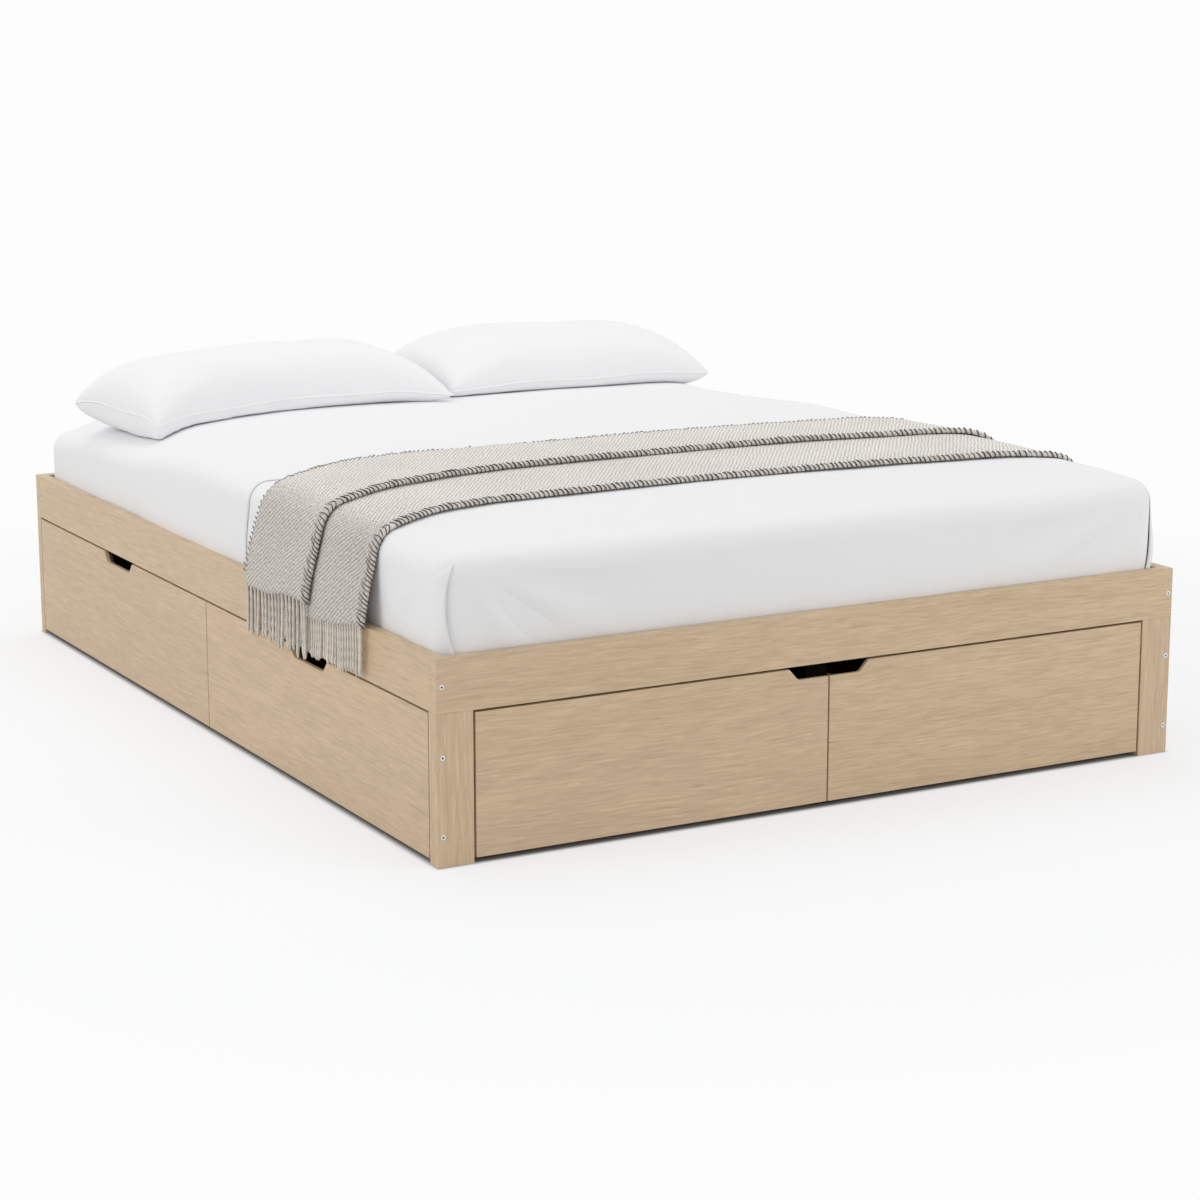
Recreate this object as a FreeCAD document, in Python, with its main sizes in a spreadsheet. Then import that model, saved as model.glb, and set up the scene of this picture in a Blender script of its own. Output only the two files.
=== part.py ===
"""Platform storage bed in oak-faced board: a low frame with slats, two drawers in its left side, two in its
foot, all four on castors, and its bedding. Millimetres; +Z up; the origin is on the floor under the middle of
the bed. The foot end faces -Y and the side with drawers faces -X."""
import FreeCAD, Part
import math
import os
import re

import Sketcher

doc = FreeCAD.newDocument("PlatformStorageBed")
vec = FreeCAD.Vector

# Driving sizes
SIZES = [
    ("mattress_width", 1500), ("mattress_length", 2000), ("mattress_thick", 222),
    ("mattress_room", 3), ("mattress_round", 46), ("mattress_crown", 8),
    ("mattress_crown_run", 190), ("mattress_corner", 48), ("soft_ease", 0.3),
    ("board", 22), ("bed_height", 360), ("rail_height", 94), ("edge_break", 0.6),
    ("leg_width", 68), ("foot_relief", 10),
    ("front_board", 20), ("front_gap", 4), ("seam_gap", 3), ("end_gap", 3), ("front_lift", 10),
    ("notch_top", 168), ("notch_bottom", 130), ("notch_depth", 21), ("notch_round", 12),
    ("notch_bevel", 12),
    ("post_size", 44), ("post_nose", 9),
    ("slat_level", 294), ("slat_thick", 16), ("slat_width", 70), ("slat_ease", 2),
    ("slat_margin", 25), ("slat_count", 14), ("cleat_size", 28),
    ("beam_width", 44), ("beam_depth", 70), ("beam_setback", 20), ("leg_spread", 660),
    ("glide_radius", 18), ("glide_thick", 8), ("bracket_steel", 3), ("bracket_reach", 60),
    ("box_rear_room", 93), ("foot_box_depth", 450), ("box_room", 8), ("corner_room", 20),
    ("box_board", 15), ("box_height", 180), ("box_lift", 47),
    ("bottom_board", 6), ("bottom_rise", 10), ("groove_depth", 6), ("groove_ease", 0.3),
    ("wheel_radius", 25), ("wheel_width", 18), ("wheel_side_room", 0.5),
    ("axle_radius", 3), ("axle_ease", 0.05), ("fork_wall", 2.5), ("fork_plate", 3),
    ("fork_length", 60), ("fork_tip", 8), ("castor_inset", 30), ("castor_setback", 50),
    ("screw_head_radius", 4.6), ("screw_head_thick", 0.8), ("screw_inset", 10),
    ("screw_low", 54), ("screw_mid", 191), ("screw_high", 312),
    ("buffer_radius", 5), ("buffer_ease", 0.3), ("buffer_level", 205), ("buffer_inset", 11),
    ("sheet_thick", 2), ("sheet_tuck", 30), ("sheet_turn_down", 500),
    ("pillow_depth", 438), ("pillow_thick", 136), ("pillow_corner", 14), ("pillow_bow", 12),
    ("pillow_gap", 4), ("pillow_side_gap", 36), ("pillow_head_gap", 91),
    ("throw_thick", 6), ("throw_stand", 3), ("throw_foot_gap", 372), ("throw_front_band", 265),
    ("throw_rear_band", 221), ("throw_front_bow", 128), ("throw_upper_bow", 167), ("throw_rear_bow", 79),
    ("fringe_length", 88), ("fringe_tip_level", 248),
]

# Places and sizes worked out from the driving sizes
PLACES = [
    ("inner_width", "mattress_width + 2 * mattress_room"),
    ("inner_length", "mattress_length + 2 * mattress_room"),
    ("bed_width", "inner_width + 2 * board"),
    ("bed_length", "inner_length + 2 * board"),
    ("right_face", "bed_width / 2"),
    ("right_inner", "inner_width / 2"),
    ("head_inner", "inner_length / 2"),
    ("rail_base", "bed_height - rail_height"),
    ("opening_width", "bed_width - 2 * leg_width"),
    ("front_height", "rail_base - front_gap - front_lift"),
    ("foot_front_length", "(opening_width - 2 * front_gap - seam_gap) / 2"),
    ("side_opening", "inner_length - post_nose"),
    ("side_front_length", "(side_opening - 2 * end_gap - seam_gap) / 2"),
    ("side_seam", "post_nose / 2"),
    ("slat_top", "slat_level + slat_thick"),
    ("beam_base", "slat_level - beam_depth"),
    ("buffer_thick", "board - front_board - buffer_ease"),
    ("side_box_depth", "right_face - front_board - post_size / 2 - box_rear_room"),
    ("foot_box_rear", "foot_box_depth + front_board - bed_length / 2"),
    ("fork_width", "wheel_width + 2 * wheel_side_room + 2 * fork_wall"),
    ("fork_top", "box_lift + bottom_rise"),
    ("mattress_base", "slat_top + soft_ease"),
    ("pillow_width", "(mattress_width - pillow_gap) / 2 - pillow_side_gap"),
    ("pillow_centre", "(mattress_length - pillow_depth) / 2 - pillow_head_gap"),
    ("sheet_head_edge", "mattress_length / 2 - sheet_turn_down"),
    ("throw_front", "throw_foot_gap - mattress_length / 2"),
    ("throw_upper", "throw_front + throw_front_band"),
    ("throw_rear", "throw_upper + throw_rear_band"),
    ("sheet_out", "soft_ease + sheet_thick"),
    ("throw_in", "sheet_out + soft_ease"),
]

# Soft forms, as shares: a pillow's levels are (height, size of the outline)
PILLOW_SHARES = [(0.00, 0.66), (0.05, 0.86), (0.12, 1.00), (0.22, 0.965), (0.42, 0.90), (0.66, 0.80),
                 (0.84, 0.68), (0.95, 0.51), (1.00, 0.33)]
PILLOW_SIDE_RUNS = 4
MATTRESS_FOOT_SHARES = [(0.00, 0.35), (0.05, 0.10), (0.14, 0.0)]
ROUND_ANGLES = [0, 26, 52, 76]
CROWN_SHARES = [0.0, 0.45, 1.0]
THROW_BOW_SHARES = [(-1.06, 1.0), (-0.95, 0.9), (-0.84, 0.6), (-0.73, 0.33), (-0.58, 0.1), (-0.3, 0.02),
                    (0.05, 0.0), (0.4, 0.06), (0.62, 0.25), (0.82, 0.55), (0.94, 0.85), (1.06, 1.05)]
CORNER_GROWTH_SHARE = 0.4


def write_sheet(name, rows, lead):
    """A spreadsheet with one named cell for each row."""
    sheet = doc.addObject("Spreadsheet::Sheet", name)
    for row, (alias, entry) in enumerate(rows, start=1):
        sheet.set("A%d" % row, alias)
        sheet.set("B%d" % row, lead + str(entry))
        sheet.setAlias("B%d" % row, alias)
    return sheet


HOLDER = {alias: "Sizes." for alias, _ in SIZES}


def full(formula):
    """The formula with each name led by the sheet that holds it."""
    return re.sub(r"[a-z]\w*", lambda word: HOLDER.get(word[0], "") + word[0], formula)


sizes = write_sheet("Sizes", SIZES, "")
places_rows = []
for alias, formula in PLACES:
    places_rows.append((alias, full(formula)))
    HOLDER[alias] = "Places."
places = write_sheet("Places", places_rows, "=")
doc.recompute()


def value(formula):
    """The formula's number at the present sizes."""
    return float(sizes.evalExpression(full(formula)))


def bind(thing, **formulas):
    """Ties properties of an object to formulas."""
    for name, formula in formulas.items():
        thing.setExpression(name, full(formula))


def place(thing, x, y, z):
    """Ties an object's place to formulas."""
    for axis, formula in zip("xyz", (x, y, z)):
        thing.setExpression("Placement.Base." + axis, full(formula))


NODES = {}


def keep(name, thing):
    """Makes an object a sub-part of the bed under its own name."""
    thing.Label = name
    NODES[name] = thing
    return thing


def origin(body, role):
    """One of a body's own planes or axes."""
    return [item for item in body.Origin.OriginFeatures if item.Role == role][0]


def block(body, kind, name, length, width, height, x="0", y="0", z="0"):
    """A box added to a body or cut out of it."""
    box = body.newObject("PartDesign::%sBox" % kind, name)
    bind(box, Length=length, Width=width, Height=height)
    place(box, x, y, z)
    return box


def break_edges(body, base, size="edge_break"):
    """A small chamfer on every edge that the body has so far."""
    edges = body.newObject("PartDesign::Chamfer", body.Name + "_edges")
    edges.Base = (base, ["Face1"])
    edges.UseAllEdges = True
    bind(edges, Size=size)
    return edges


def board(name, length, width, height):
    """A plain board or post with broken edges."""
    body = doc.addObject("PartDesign::Body", name)
    break_edges(body, block(body, "Additive", name + "_blank", length, width, height))
    return body


def outline(body, name, role, corners):
    """A closed outline of straight edges, with each corner tied to the body's origin by two formulas."""
    sketch = body.newObject("Sketcher::SketchObject", name)
    sketch.AttachmentSupport = [(origin(body, role), "")]
    sketch.MapMode = "FlatFace"
    spots = [vec(value(across), value(up), 0) for across, up in corners]
    count = len(spots)
    for i in range(count):
        sketch.addGeometry(Part.LineSegment(spots[i], spots[(i + 1) % count]), False)
    for i in range(count):
        sketch.addConstraint(Sketcher.Constraint("Coincident", i, 2, (i + 1) % count, 1))
    for i, corner in enumerate(corners):
        for kind, axis, formula in (("DistanceX", -2, corner[0]), ("DistanceY", -1, corner[1])):
            if formula == "0":
                sketch.addConstraint(Sketcher.Constraint("PointOnObject", i, 1, axis))
                continue
            tie = sketch.addConstraint(Sketcher.Constraint(kind, -1, 1, i, 1, value(formula)))
            sketch.renameConstraint(tie, "%s%d" % (kind, i))
            sketch.setExpression("Constraints.%s%d" % (kind, i), full(formula))
    return sketch


def pad(body, name, sketch, length, reverse=False, middle=False):
    """A sketch given its thickness, to one side of its plane or to both sides alike."""
    solid = body.newObject("PartDesign::Pad", name)
    solid.Profile = sketch
    solid.Reversed = reverse
    if middle:
        solid.SideType = "Symmetric"
    bind(solid, Length=length)
    return solid


def rings(body, name, radii):
    """Named circles about the X axis."""
    sketch = body.newObject("Sketcher::SketchObject", name)
    sketch.AttachmentSupport = [(origin(body, "YZ_Plane"), "")]
    sketch.MapMode = "FlatFace"
    for number, (ring, radius) in enumerate(radii):
        sketch.addGeometry(Part.Circle(vec(0, 0, 0), vec(0, 0, 1), value(radius)), False)
        sketch.addConstraint(Sketcher.Constraint("Coincident", number, 3, -1, 1))
        tie = sketch.addConstraint(Sketcher.Constraint("Radius", number, value(radius)))
        sketch.renameConstraint(tie, ring)
        sketch.setExpression("Constraints." + ring, full(radius))
    return sketch


def rod(name, radius, height, tilt, x, y, z):
    """A cylinder whose axis is turned by tilt, an axis and an angle."""
    cylinder = doc.addObject("Part::Cylinder", name)
    bind(cylinder, Radius=radius, Height=height)
    cylinder.Placement.Rotation = FreeCAD.Rotation(*tilt)
    place(cylinder, x, y, z)
    return cylinder


TO_FOOT = (vec(1, 0, 0), 90)
TO_HEAD = (vec(1, 0, 0), -90)
TO_LEFT = (vec(0, 1, 0), -90)


def group(name, members):
    """Several like pieces kept as one sub-part of separate solids."""
    compound = doc.addObject("Part::Compound", name)
    compound.Links = members
    return keep(name, compound)


def corner_screws():
    """The flat round heads of the screws that hold the end boards to the rails, panel and posts."""
    heads = []
    edge = "(bed_width / 2 - screw_inset)"
    for level in ("low", "mid", "high"):
        for side, x in (("left", "-" + edge), ("right", edge)):
            for end, y, turn in (("foot", "-bed_length / 2", TO_FOOT), ("head", "bed_length / 2", TO_HEAD)):
                name = "screw_%s_%s_%s" % (end, side, level)
                heads.append(rod(name, "screw_head_radius", "screw_head_thick", turn, x, y, "screw_" + level))
    group("corner_screws", heads)


def end_boards():
    """The foot rail on its two leg boards, and the head panel."""
    rail = keep("foot_rail", board("foot_rail", "bed_width", "board", "rail_height"))
    place(rail, "-right_face", "-bed_length / 2", "rail_base")
    for side, start in (("left", "-right_face"), ("right", "right_face - leg_width")):
        leg = keep("foot_leg_" + side, board("foot_leg_" + side, "leg_width", "board", "rail_base"))
        place(leg, start, "-bed_length / 2", "0")
    panel = keep("head_panel", doc.addObject("PartDesign::Body", "head_panel"))
    shape = outline(panel, "head_panel_outline", "XZ_Plane", [
        ("0", "0"), ("leg_width", "0"), ("leg_width", "foot_relief"),
        ("bed_width - leg_width", "foot_relief"), ("bed_width - leg_width", "0"),
        ("bed_width", "0"), ("bed_width", "bed_height"), ("0", "bed_height")])
    break_edges(panel, pad(panel, "head_panel_pad", shape, "board", reverse=True))
    place(panel, "-right_face", "head_inner", "0")


def long_sides():
    """The rail over the side drawers, and the plain panel that closes the other side."""
    rail = keep("side_rail_left", board("side_rail_left", "board", "inner_length", "rail_height"))
    place(rail, "-right_face", "-head_inner", "rail_base")
    panel = board("side_panel_right", "board", "inner_length", "bed_height - foot_relief")
    place(keep("side_panel_right", panel), "right_inner", "-head_inner", "foot_relief")


def posts():
    """Corner posts, the post between the side drawers and the one behind the foot drawers' seam."""
    left = "-right_inner"
    nosed = keep("corner_post_foot_left", doc.addObject("PartDesign::Body", "corner_post_foot_left"))
    section = outline(nosed, "corner_post_section", "XY_Plane", [
        ("0", "0"), ("board + post_size", "0"), ("board + post_size", "post_size"),
        ("board", "post_size"), ("board", "post_nose"), ("0", "post_nose")])
    break_edges(nosed, pad(nosed, "corner_post_pad", section, "rail_base"))
    place(nosed, "-right_face", "-head_inner", "0")
    plain = (("corner_post_head_left", left, "head_inner - post_size"),
             ("corner_post_foot_right", "right_inner - post_size", "-head_inner"),
             ("corner_post_head_right", "right_inner - post_size", "head_inner - post_size"),
             ("divider_post", left, "side_seam - post_size / 2"))
    for name, x, y in plain:
        post = keep(name, board(name, "post_size", "post_size", "slat_level"))
        place(post, x, y, "0")
    middle = keep("foot_centre_post", board("foot_centre_post", "post_size", "post_size", "beam_base"))
    place(middle, "-post_size / 2", "-head_inner", "0")


def slat_bed():
    """Cleats, centre beam on its legs, the bracket at its head end, and the slats."""
    for side, x in (("left", "-right_inner"), ("right", "right_inner - cleat_size")):
        cleat = doc.addObject("PartDesign::Body", "side_cleat_" + side)
        run = "inner_length - 2 * post_size"
        bar = block(cleat, "Additive", "cleat_bar_" + side, "cleat_size", run, "slat_level - rail_base")
        if side == "left":
            start = "head_inner - post_size + side_seam - post_size / 2"
            depth = "slat_level - rail_base"
            block(cleat, "Subtractive", "cleat_gap", "cleat_size", "post_size", depth, y=start)
        else:
            break_edges(cleat, bar)
        keep("side_cleat_" + side, cleat)
        place(cleat, x, "post_size - head_inner", "rail_base")
    beam = board("centre_beam", "beam_width", "inner_length - beam_setback", "beam_depth")
    keep("centre_beam", beam)
    place(beam, "-beam_width / 2", "beam_setback - head_inner", "beam_base")
    for end, y in (("foot_end", "-leg_spread / 2"), ("head_end", "leg_spread / 2")):
        leg = board("centre_leg_" + end, "post_size", "post_size", "beam_base - glide_thick")
        keep("centre_leg_" + end, leg)
        place(leg, "-post_size / 2", "%s - post_size / 2" % y, "glide_thick")
    discs = [rod("glide_%s" % end, "glide_radius", "glide_thick", (vec(0, 0, 1), 0), "0", y, "0")
             for end, y in (("foot_end", "-leg_spread / 2"), ("head_end", "leg_spread / 2"))]
    group("centre_leg_glides", discs)
    bracket = doc.addObject("PartDesign::Body", "beam_bracket")
    angle = outline(bracket, "bracket_section", "YZ_Plane", [
        ("0", "0"), ("bracket_reach", "0"), ("bracket_reach", "bracket_steel - bracket_reach"),
        ("bracket_reach + bracket_steel", "bracket_steel - bracket_reach"),
        ("bracket_reach + bracket_steel", "bracket_steel"), ("0", "bracket_steel")])
    pad(bracket, "bracket_pad", angle, "beam_width")
    keep("beam_bracket", bracket)
    start = "head_inner - bracket_reach - bracket_steel"
    place(bracket, "-beam_width / 2", start, "beam_base - bracket_steel")
    row = doc.addObject("PartDesign::Body", "slats")
    slat = block(row, "Additive", "slat", "inner_width - 2 * slat_ease", "slat_width", "slat_thick")
    repeat = row.newObject("PartDesign::LinearPattern", "slat_row")
    repeat.Originals = [slat]
    repeat.Direction = (origin(row, "Y_Axis"), [""])
    bind(repeat, Length="inner_length - 2 * slat_margin - slat_width", Occurrences="slat_count")
    row.Tip = repeat
    keep("slats", row)
    place(row, "slat_ease - right_inner", "slat_margin - head_inner", "slat_level")


def buffers():
    """Rubber buffers on the posts, which the drawer fronts close against."""
    rubber = []
    side_spots = ("head_inner - post_size / 2", "side_seam + buffer_inset", "side_seam - buffer_inset",
                  "post_size / 2 + post_nose / 2 - head_inner")
    for number, y in enumerate(side_spots, start=1):
        name = "side_buffer_%d" % number
        rubber.append(rod(name, "buffer_radius", "buffer_thick", TO_LEFT, "-right_inner", y, "buffer_level"))
    for number, x in enumerate(("-buffer_inset", "buffer_inset"), start=1):
        name = "foot_buffer_%d" % number
        rubber.append(rod(name, "buffer_radius", "buffer_thick", TO_FOOT, x, "-head_inner", "buffer_level"))
    group("drawer_buffers", rubber)


FULL_NOTCH, NOTCH_AT_RIGHT, NOTCH_AT_LEFT = "full", "right", "left"


def front_corners(length, notch):
    """The outline of a drawer front, seen from outside, with its share of the hand notch."""
    sill = "front_height - notch_depth"
    corners = [("0", "0"), (length, "0")]
    if notch == FULL_NOTCH:
        middle = "(%s) / 2" % length
        corners += [(length, "front_height"), (middle + " + notch_top / 2", "front_height"),
                    (middle + " + notch_bottom / 2", sill), (middle + " - notch_bottom / 2", sill),
                    (middle + " - notch_top / 2", "front_height"), ("0", "front_height")]
    if notch == NOTCH_AT_RIGHT:
        middle = "%s + seam_gap / 2" % length
        corners += [(length, sill), (middle + " - notch_bottom / 2", sill),
                    (middle + " - notch_top / 2", "front_height"), ("0", "front_height")]
    if notch == NOTCH_AT_LEFT:
        corners += [(length, "front_height"), ("notch_top / 2 - seam_gap / 2", "front_height"),
                    ("notch_bottom / 2 - seam_gap / 2", sill), ("0", sill)]
    return corners


class Drawer:
    """One drawer in its own frame: x runs to the right seen from outside, y into the bed, from the front's
    outer face, and the front's left edge is at x = 0. A turned drawer is one in the bed's left side."""

    def __init__(self, name, turned, start_x, start_y, front_length, notch, box_start, box_width, box_depth):
        self.name = name
        self.turned = turned
        self.start = (start_x, start_y)
        self.front_length = front_length
        self.notch = notch
        self.box_start = box_start
        self.box_width = box_width
        self.box_depth = box_depth

    def put(self, part, x, y, z):
        """Keeps a piece as this drawer's sub-part and places it in the bed."""
        body = keep("%s_%s" % (self.name, part), doc.getObject("%s_%s" % (self.name, part)))
        if self.turned:
            body.Placement.Rotation = FreeCAD.Rotation(vec(0, 0, 1), -90)
            place(body, "%s + (%s)" % (self.start[0], y), "%s - (%s)" % (self.start[1], x), z)
        else:
            place(body, "%s + (%s)" % (self.start[0], x), "%s + (%s)" % (self.start[1], y), z)

    def body(self, part):
        """A new body for one of the drawer's pieces."""
        return doc.addObject("PartDesign::Body", "%s_%s" % (self.name, part))

    def front(self):
        """The front board with its notch and the groove that takes the bottom board."""
        body = self.body("front")
        corners = front_corners(self.front_length, self.notch)
        sketch = outline(body, body.Name + "_outline", "XZ_Plane", corners)
        solid = pad(body, body.Name + "_pad", sketch, "front_board", reverse=True)
        doc.recompute()
        sill = value("front_height - notch_depth")
        ends = [value(corner[0]) for corner in corners]
        inner = [x for x in ends if min(ends) < x < max(ends)]
        names = []
        for number, edge in enumerate(solid.Shape.Edges, start=1):
            middle = edge.CenterOfMass
            lies_on_sill = abs(middle.z - sill) < value("edge_break")
            if lies_on_sill and min(abs(middle.x - x) for x in inner) < value("edge_break"):
                if abs(edge.Length - value("front_board")) < value("edge_break"):
                    names.append("Edge%d" % number)
        rounding = body.newObject("PartDesign::Fillet", body.Name + "_notch_rounding")
        rounding.Base = (solid, names)
        bind(rounding, Radius="notch_round")
        doc.recompute()
        broken = break_edges(body, self.bevel(body, rounding))
        doc.recompute()
        block(body, "Subtractive", body.Name + "_groove",
              "%s - 2 * (box_board - groove_depth)" % self.box_width, "groove_depth",
              "bottom_board + groove_ease", x="%s + box_board - groove_depth" % self.box_start,
              y="front_board - groove_depth", z="box_lift + bottom_rise - front_lift")
        self.put("front", "0", "0", "front_lift")
        return broken

    def bevel(self, body, rounding):
        """The notch's edge falls away at the back of the front, so that fingers reach under the rail."""
        sill = value("front_height - notch_depth")
        top = value("front_height")
        names = []
        for number, edge in enumerate(rounding.Shape.Edges, start=1):
            box = edge.BoundBox
            at_back = min(box.YMin, value("front_board")) > value("front_board - edge_break")
            in_notch = box.ZMin > sill - value("edge_break") and box.ZMin < top - value("edge_break")
            if at_back and in_notch:
                names.append("Edge%d" % number)
        slope = body.newObject("PartDesign::Chamfer", body.Name + "_notch_bevel")
        slope.Base = (rounding, names)
        bind(slope, Size="notch_bevel")
        return slope

    def walls(self):
        """Two sides and a back, each grooved for the bottom board."""
        deep = self.box_depth
        high = "box_height"
        slot = "bottom_board + groove_ease"
        for side in ("left", "right"):
            body = self.body(side + "_side")
            blank = block(body, "Additive", body.Name + "_blank", "box_board", deep, high)
            break_edges(body, blank)
            slot_x = "box_board - groove_depth" if side == "left" else "0"
            block(body, "Subtractive", body.Name + "_groove", "groove_depth",
                  "%s - box_board + groove_depth" % deep, slot, x=slot_x, z="bottom_rise")
            x = self.box_start if side == "left" else "%s + %s - box_board" % (self.box_start, self.box_width)
            self.put(side + "_side", x, "front_board", "box_lift")
        body = self.body("back")
        inner = "%s - 2 * box_board" % self.box_width
        break_edges(body, block(body, "Additive", body.Name + "_blank", inner, "box_board", high))
        block(body, "Subtractive", body.Name + "_groove", inner, "groove_depth", slot, z="bottom_rise")
        y = "front_board + %s - box_board" % deep
        self.put("back", "%s + box_board" % self.box_start, y, "box_lift")

    def bottom(self):
        """The bottom board, held in the grooves all round."""
        lip = "(box_board - groove_depth + groove_ease)"
        body = self.body("bottom")
        block(body, "Additive", body.Name + "_blank", "%s - 2 * %s" % (self.box_width, lip),
              "%s - box_board + 2 * groove_depth - 2 * groove_ease" % self.box_depth, "bottom_board")
        self.put("bottom", "%s + %s" % (self.box_start, lip),
                 "front_board - groove_depth + groove_ease", "box_lift + bottom_rise")

    def castors(self):
        """Four forks with their axles under the bottom, and two pairs of wheels on the floor."""
        span_x = "%s - 2 * box_board - 2 * castor_inset - fork_width" % self.box_width
        span_y = "%s - 2 * castor_setback - fork_length" % self.box_depth
        first_x = "%s + box_board + castor_inset" % self.box_start
        first_y = "front_board + castor_setback"
        body = self.body("castor_forks")
        top = "fork_top - wheel_radius"
        half = "fork_length / 2"
        sketch = outline(body, body.Name + "_outline", "YZ_Plane", [
            ("fork_tip", "-fork_tip"), (half, top + " - fork_plate"), (half, top),
            ("-(%s)" % half, top), ("-(%s)" % half, top + " - fork_plate"), ("-fork_tip", "-fork_tip")])
        fork = pad(body, body.Name + "_pad", sketch, "fork_width", middle=True)
        opening = outline(body, body.Name + "_opening", "YZ_Plane", [
            (half, "-fork_tip"), (half, top + " - fork_plate"),
            ("-(%s)" % half, top + " - fork_plate"), ("-(%s)" % half, "-fork_tip")])
        gap = body.newObject("PartDesign::Pocket", body.Name + "_gap")
        gap.Profile = opening
        gap.SideType = "Symmetric"
        bind(gap, Length="fork_width - 2 * fork_wall")
        pin = rings(body, body.Name + "_pin", [("pin", "axle_radius")])
        axle = pad(body, body.Name + "_axle", pin, "fork_width", middle=True)
        four = body.newObject("PartDesign::LinearPattern", body.Name + "_four")
        four.Originals = [fork, gap, axle]
        four.Direction = (origin(body, "X_Axis"), [""])
        four.Occurrences = 2
        four.Direction2 = (origin(body, "Y_Axis"), [""])
        four.Occurrences2 = 2
        bind(four, Length=span_x, Length2=span_y)
        body.Tip = four
        centre_x = "%s + fork_width / 2" % first_x
        centre_y = "%s + %s" % (first_y, half)
        self.put("castor_forks", centre_x, centre_y, "wheel_radius")
        for end, y in (("front", centre_y), ("rear", "%s + %s" % (centre_y, span_y))):
            self.wheel_pair(end, centre_x, y, span_x)

    def wheel_pair(self, end, x, y, span):
        """Two wheels in line, each turning on its own axle."""
        body = self.body(end + "_wheels")
        bore = "axle_radius + axle_ease"
        sketch = rings(body, body.Name + "_rings", [("tread", "wheel_radius"), ("bore", bore)])
        wheel = pad(body, body.Name + "_pad", sketch, "wheel_width", middle=True)
        two = body.newObject("PartDesign::LinearPattern", body.Name + "_two")
        two.Originals = [wheel]
        two.Direction = (origin(body, "X_Axis"), [""])
        two.Occurrences = 2
        bind(two, Length=span)
        body.Tip = two
        self.put(end + "_wheels", x, y, "wheel_radius")

    def build(self):
        """Every piece of the drawer."""
        self.front()
        self.walls()
        self.bottom()
        self.castors()


def drawers():
    """Two drawers in the bed's left side and two in its foot."""
    left = "-right_face"
    foot = "-bed_length / 2"
    side = "side_front_length"
    clear = "post_size / 2 + box_room"
    head_top = "head_inner - end_gap"
    middle_top = "side_seam - seam_gap / 2"
    head_start = "post_size + box_room - end_gap"
    head_width = "%s - (%s) - (%s - seam_gap / 2)" % (side, head_start, clear)
    Drawer("head_side_drawer", True, left, head_top, side, FULL_NOTCH,
           head_start, "(%s)" % head_width, "side_box_depth").build()
    corner_start = "(%s - seam_gap / 2)" % clear
    corner_width = "(%s - %s - corner_room - foot_box_rear)" % (middle_top, corner_start)
    Drawer("foot_side_drawer", True, left, middle_top, side, FULL_NOTCH,
           corner_start, corner_width, "side_box_depth").build()
    length = "foot_front_length"
    start = "leg_width + front_gap"
    outer = "(board + post_size + box_room - %s)" % start
    inner = "(post_size / 2 + box_room - seam_gap / 2)"
    width = "(%s - %s - %s)" % (length, outer, inner)
    Drawer("left_foot_drawer", False, "%s + %s" % (left, start), foot, length, NOTCH_AT_RIGHT,
           outer, width, "foot_box_depth").build()
    Drawer("right_foot_drawer", False, "seam_gap / 2", foot, length, NOTCH_AT_LEFT,
           inner, width, "foot_box_depth").build()


def rounded_loop(half_x, half_y, corner, level):
    """A level rectangle with rounded corners."""
    slack = corner * (1 - math.sqrt(0.5))
    signs = ((1, 1), (-1, 1), (-1, -1), (1, -1))
    edges = []
    for turn, (sign_x, sign_y) in enumerate(signs):
        along_y, along_x = (half_x, half_y - corner), (half_x - corner, half_y)
        start, end = (along_y, along_x) if turn % 2 == 0 else (along_x, along_y)
        next_x, next_y = signs[(turn + 1) % 4]
        far = (end[0] * next_x, end[1] * next_y)
        middle = (half_x - slack, half_y - slack)
        arc = [vec(x * sign_x, y * sign_y, level) for x, y in (start, middle, end)]
        edges.append(Part.Arc(*arc).toShape())
        edges.append(Part.LineSegment(arc[2], vec(far[0], far[1], level)).toShape())
    return Part.Wire(edges)


def mattress_levels():
    """Heights above the mattress's base, each with how far the side stands in there."""
    thick = sizes.mattress_thick
    rounding = sizes.mattress_round
    crown = sizes.mattress_crown
    levels = [(share * thick, inset * rounding) for share, inset in MATTRESS_FOOT_SHARES]
    for angle in ROUND_ANGLES:
        turn = math.radians(angle)
        levels.append((thick - crown - rounding * (1 - math.sin(turn)), rounding * (1 - math.cos(turn))))
    for share in CROWN_SHARES:
        run = rounding + (sizes.mattress_crown_run - rounding) * share
        levels.append((thick - crown * (1 - share) ** 2, run))
    return levels


def mattress_form(grow):
    """The mattress's form, grown outwards by a clearance."""
    loops = []
    for height, inset in mattress_levels():
        half_x = sizes.mattress_width / 2 - inset + grow
        half_y = sizes.mattress_length / 2 - inset + grow
        lift = grow if height > 0 else 0
        corner = sizes.mattress_corner + inset * CORNER_GROWTH_SHARE + grow
        loops.append(rounded_loop(half_x, half_y, corner, places.mattress_base + height + lift))
    return Part.makeLoft(loops, True, True)


def pillow_outline():
    """The pillow's seam in plan about its centre: cut corners, and sides that draw in between them."""
    half_x, half_y = places.pillow_width / 2, sizes.pillow_depth / 2
    cut = sizes.pillow_corner
    points = []
    for quarter in range(4):
        half, other = (half_x, half_y) if quarter % 2 == 0 else (half_y, half_x)
        for step in range(PILLOW_SIDE_RUNS + 1):
            along = 2 * step / PILLOW_SIDE_RUNS - 1
            spot = vec(along * (half - cut), sizes.pillow_bow * (1 - along ** 2) - other, 0)
            points.append(FreeCAD.Rotation(vec(0, 0, 1), 90 * quarter).multVec(spot))
    return points


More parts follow.
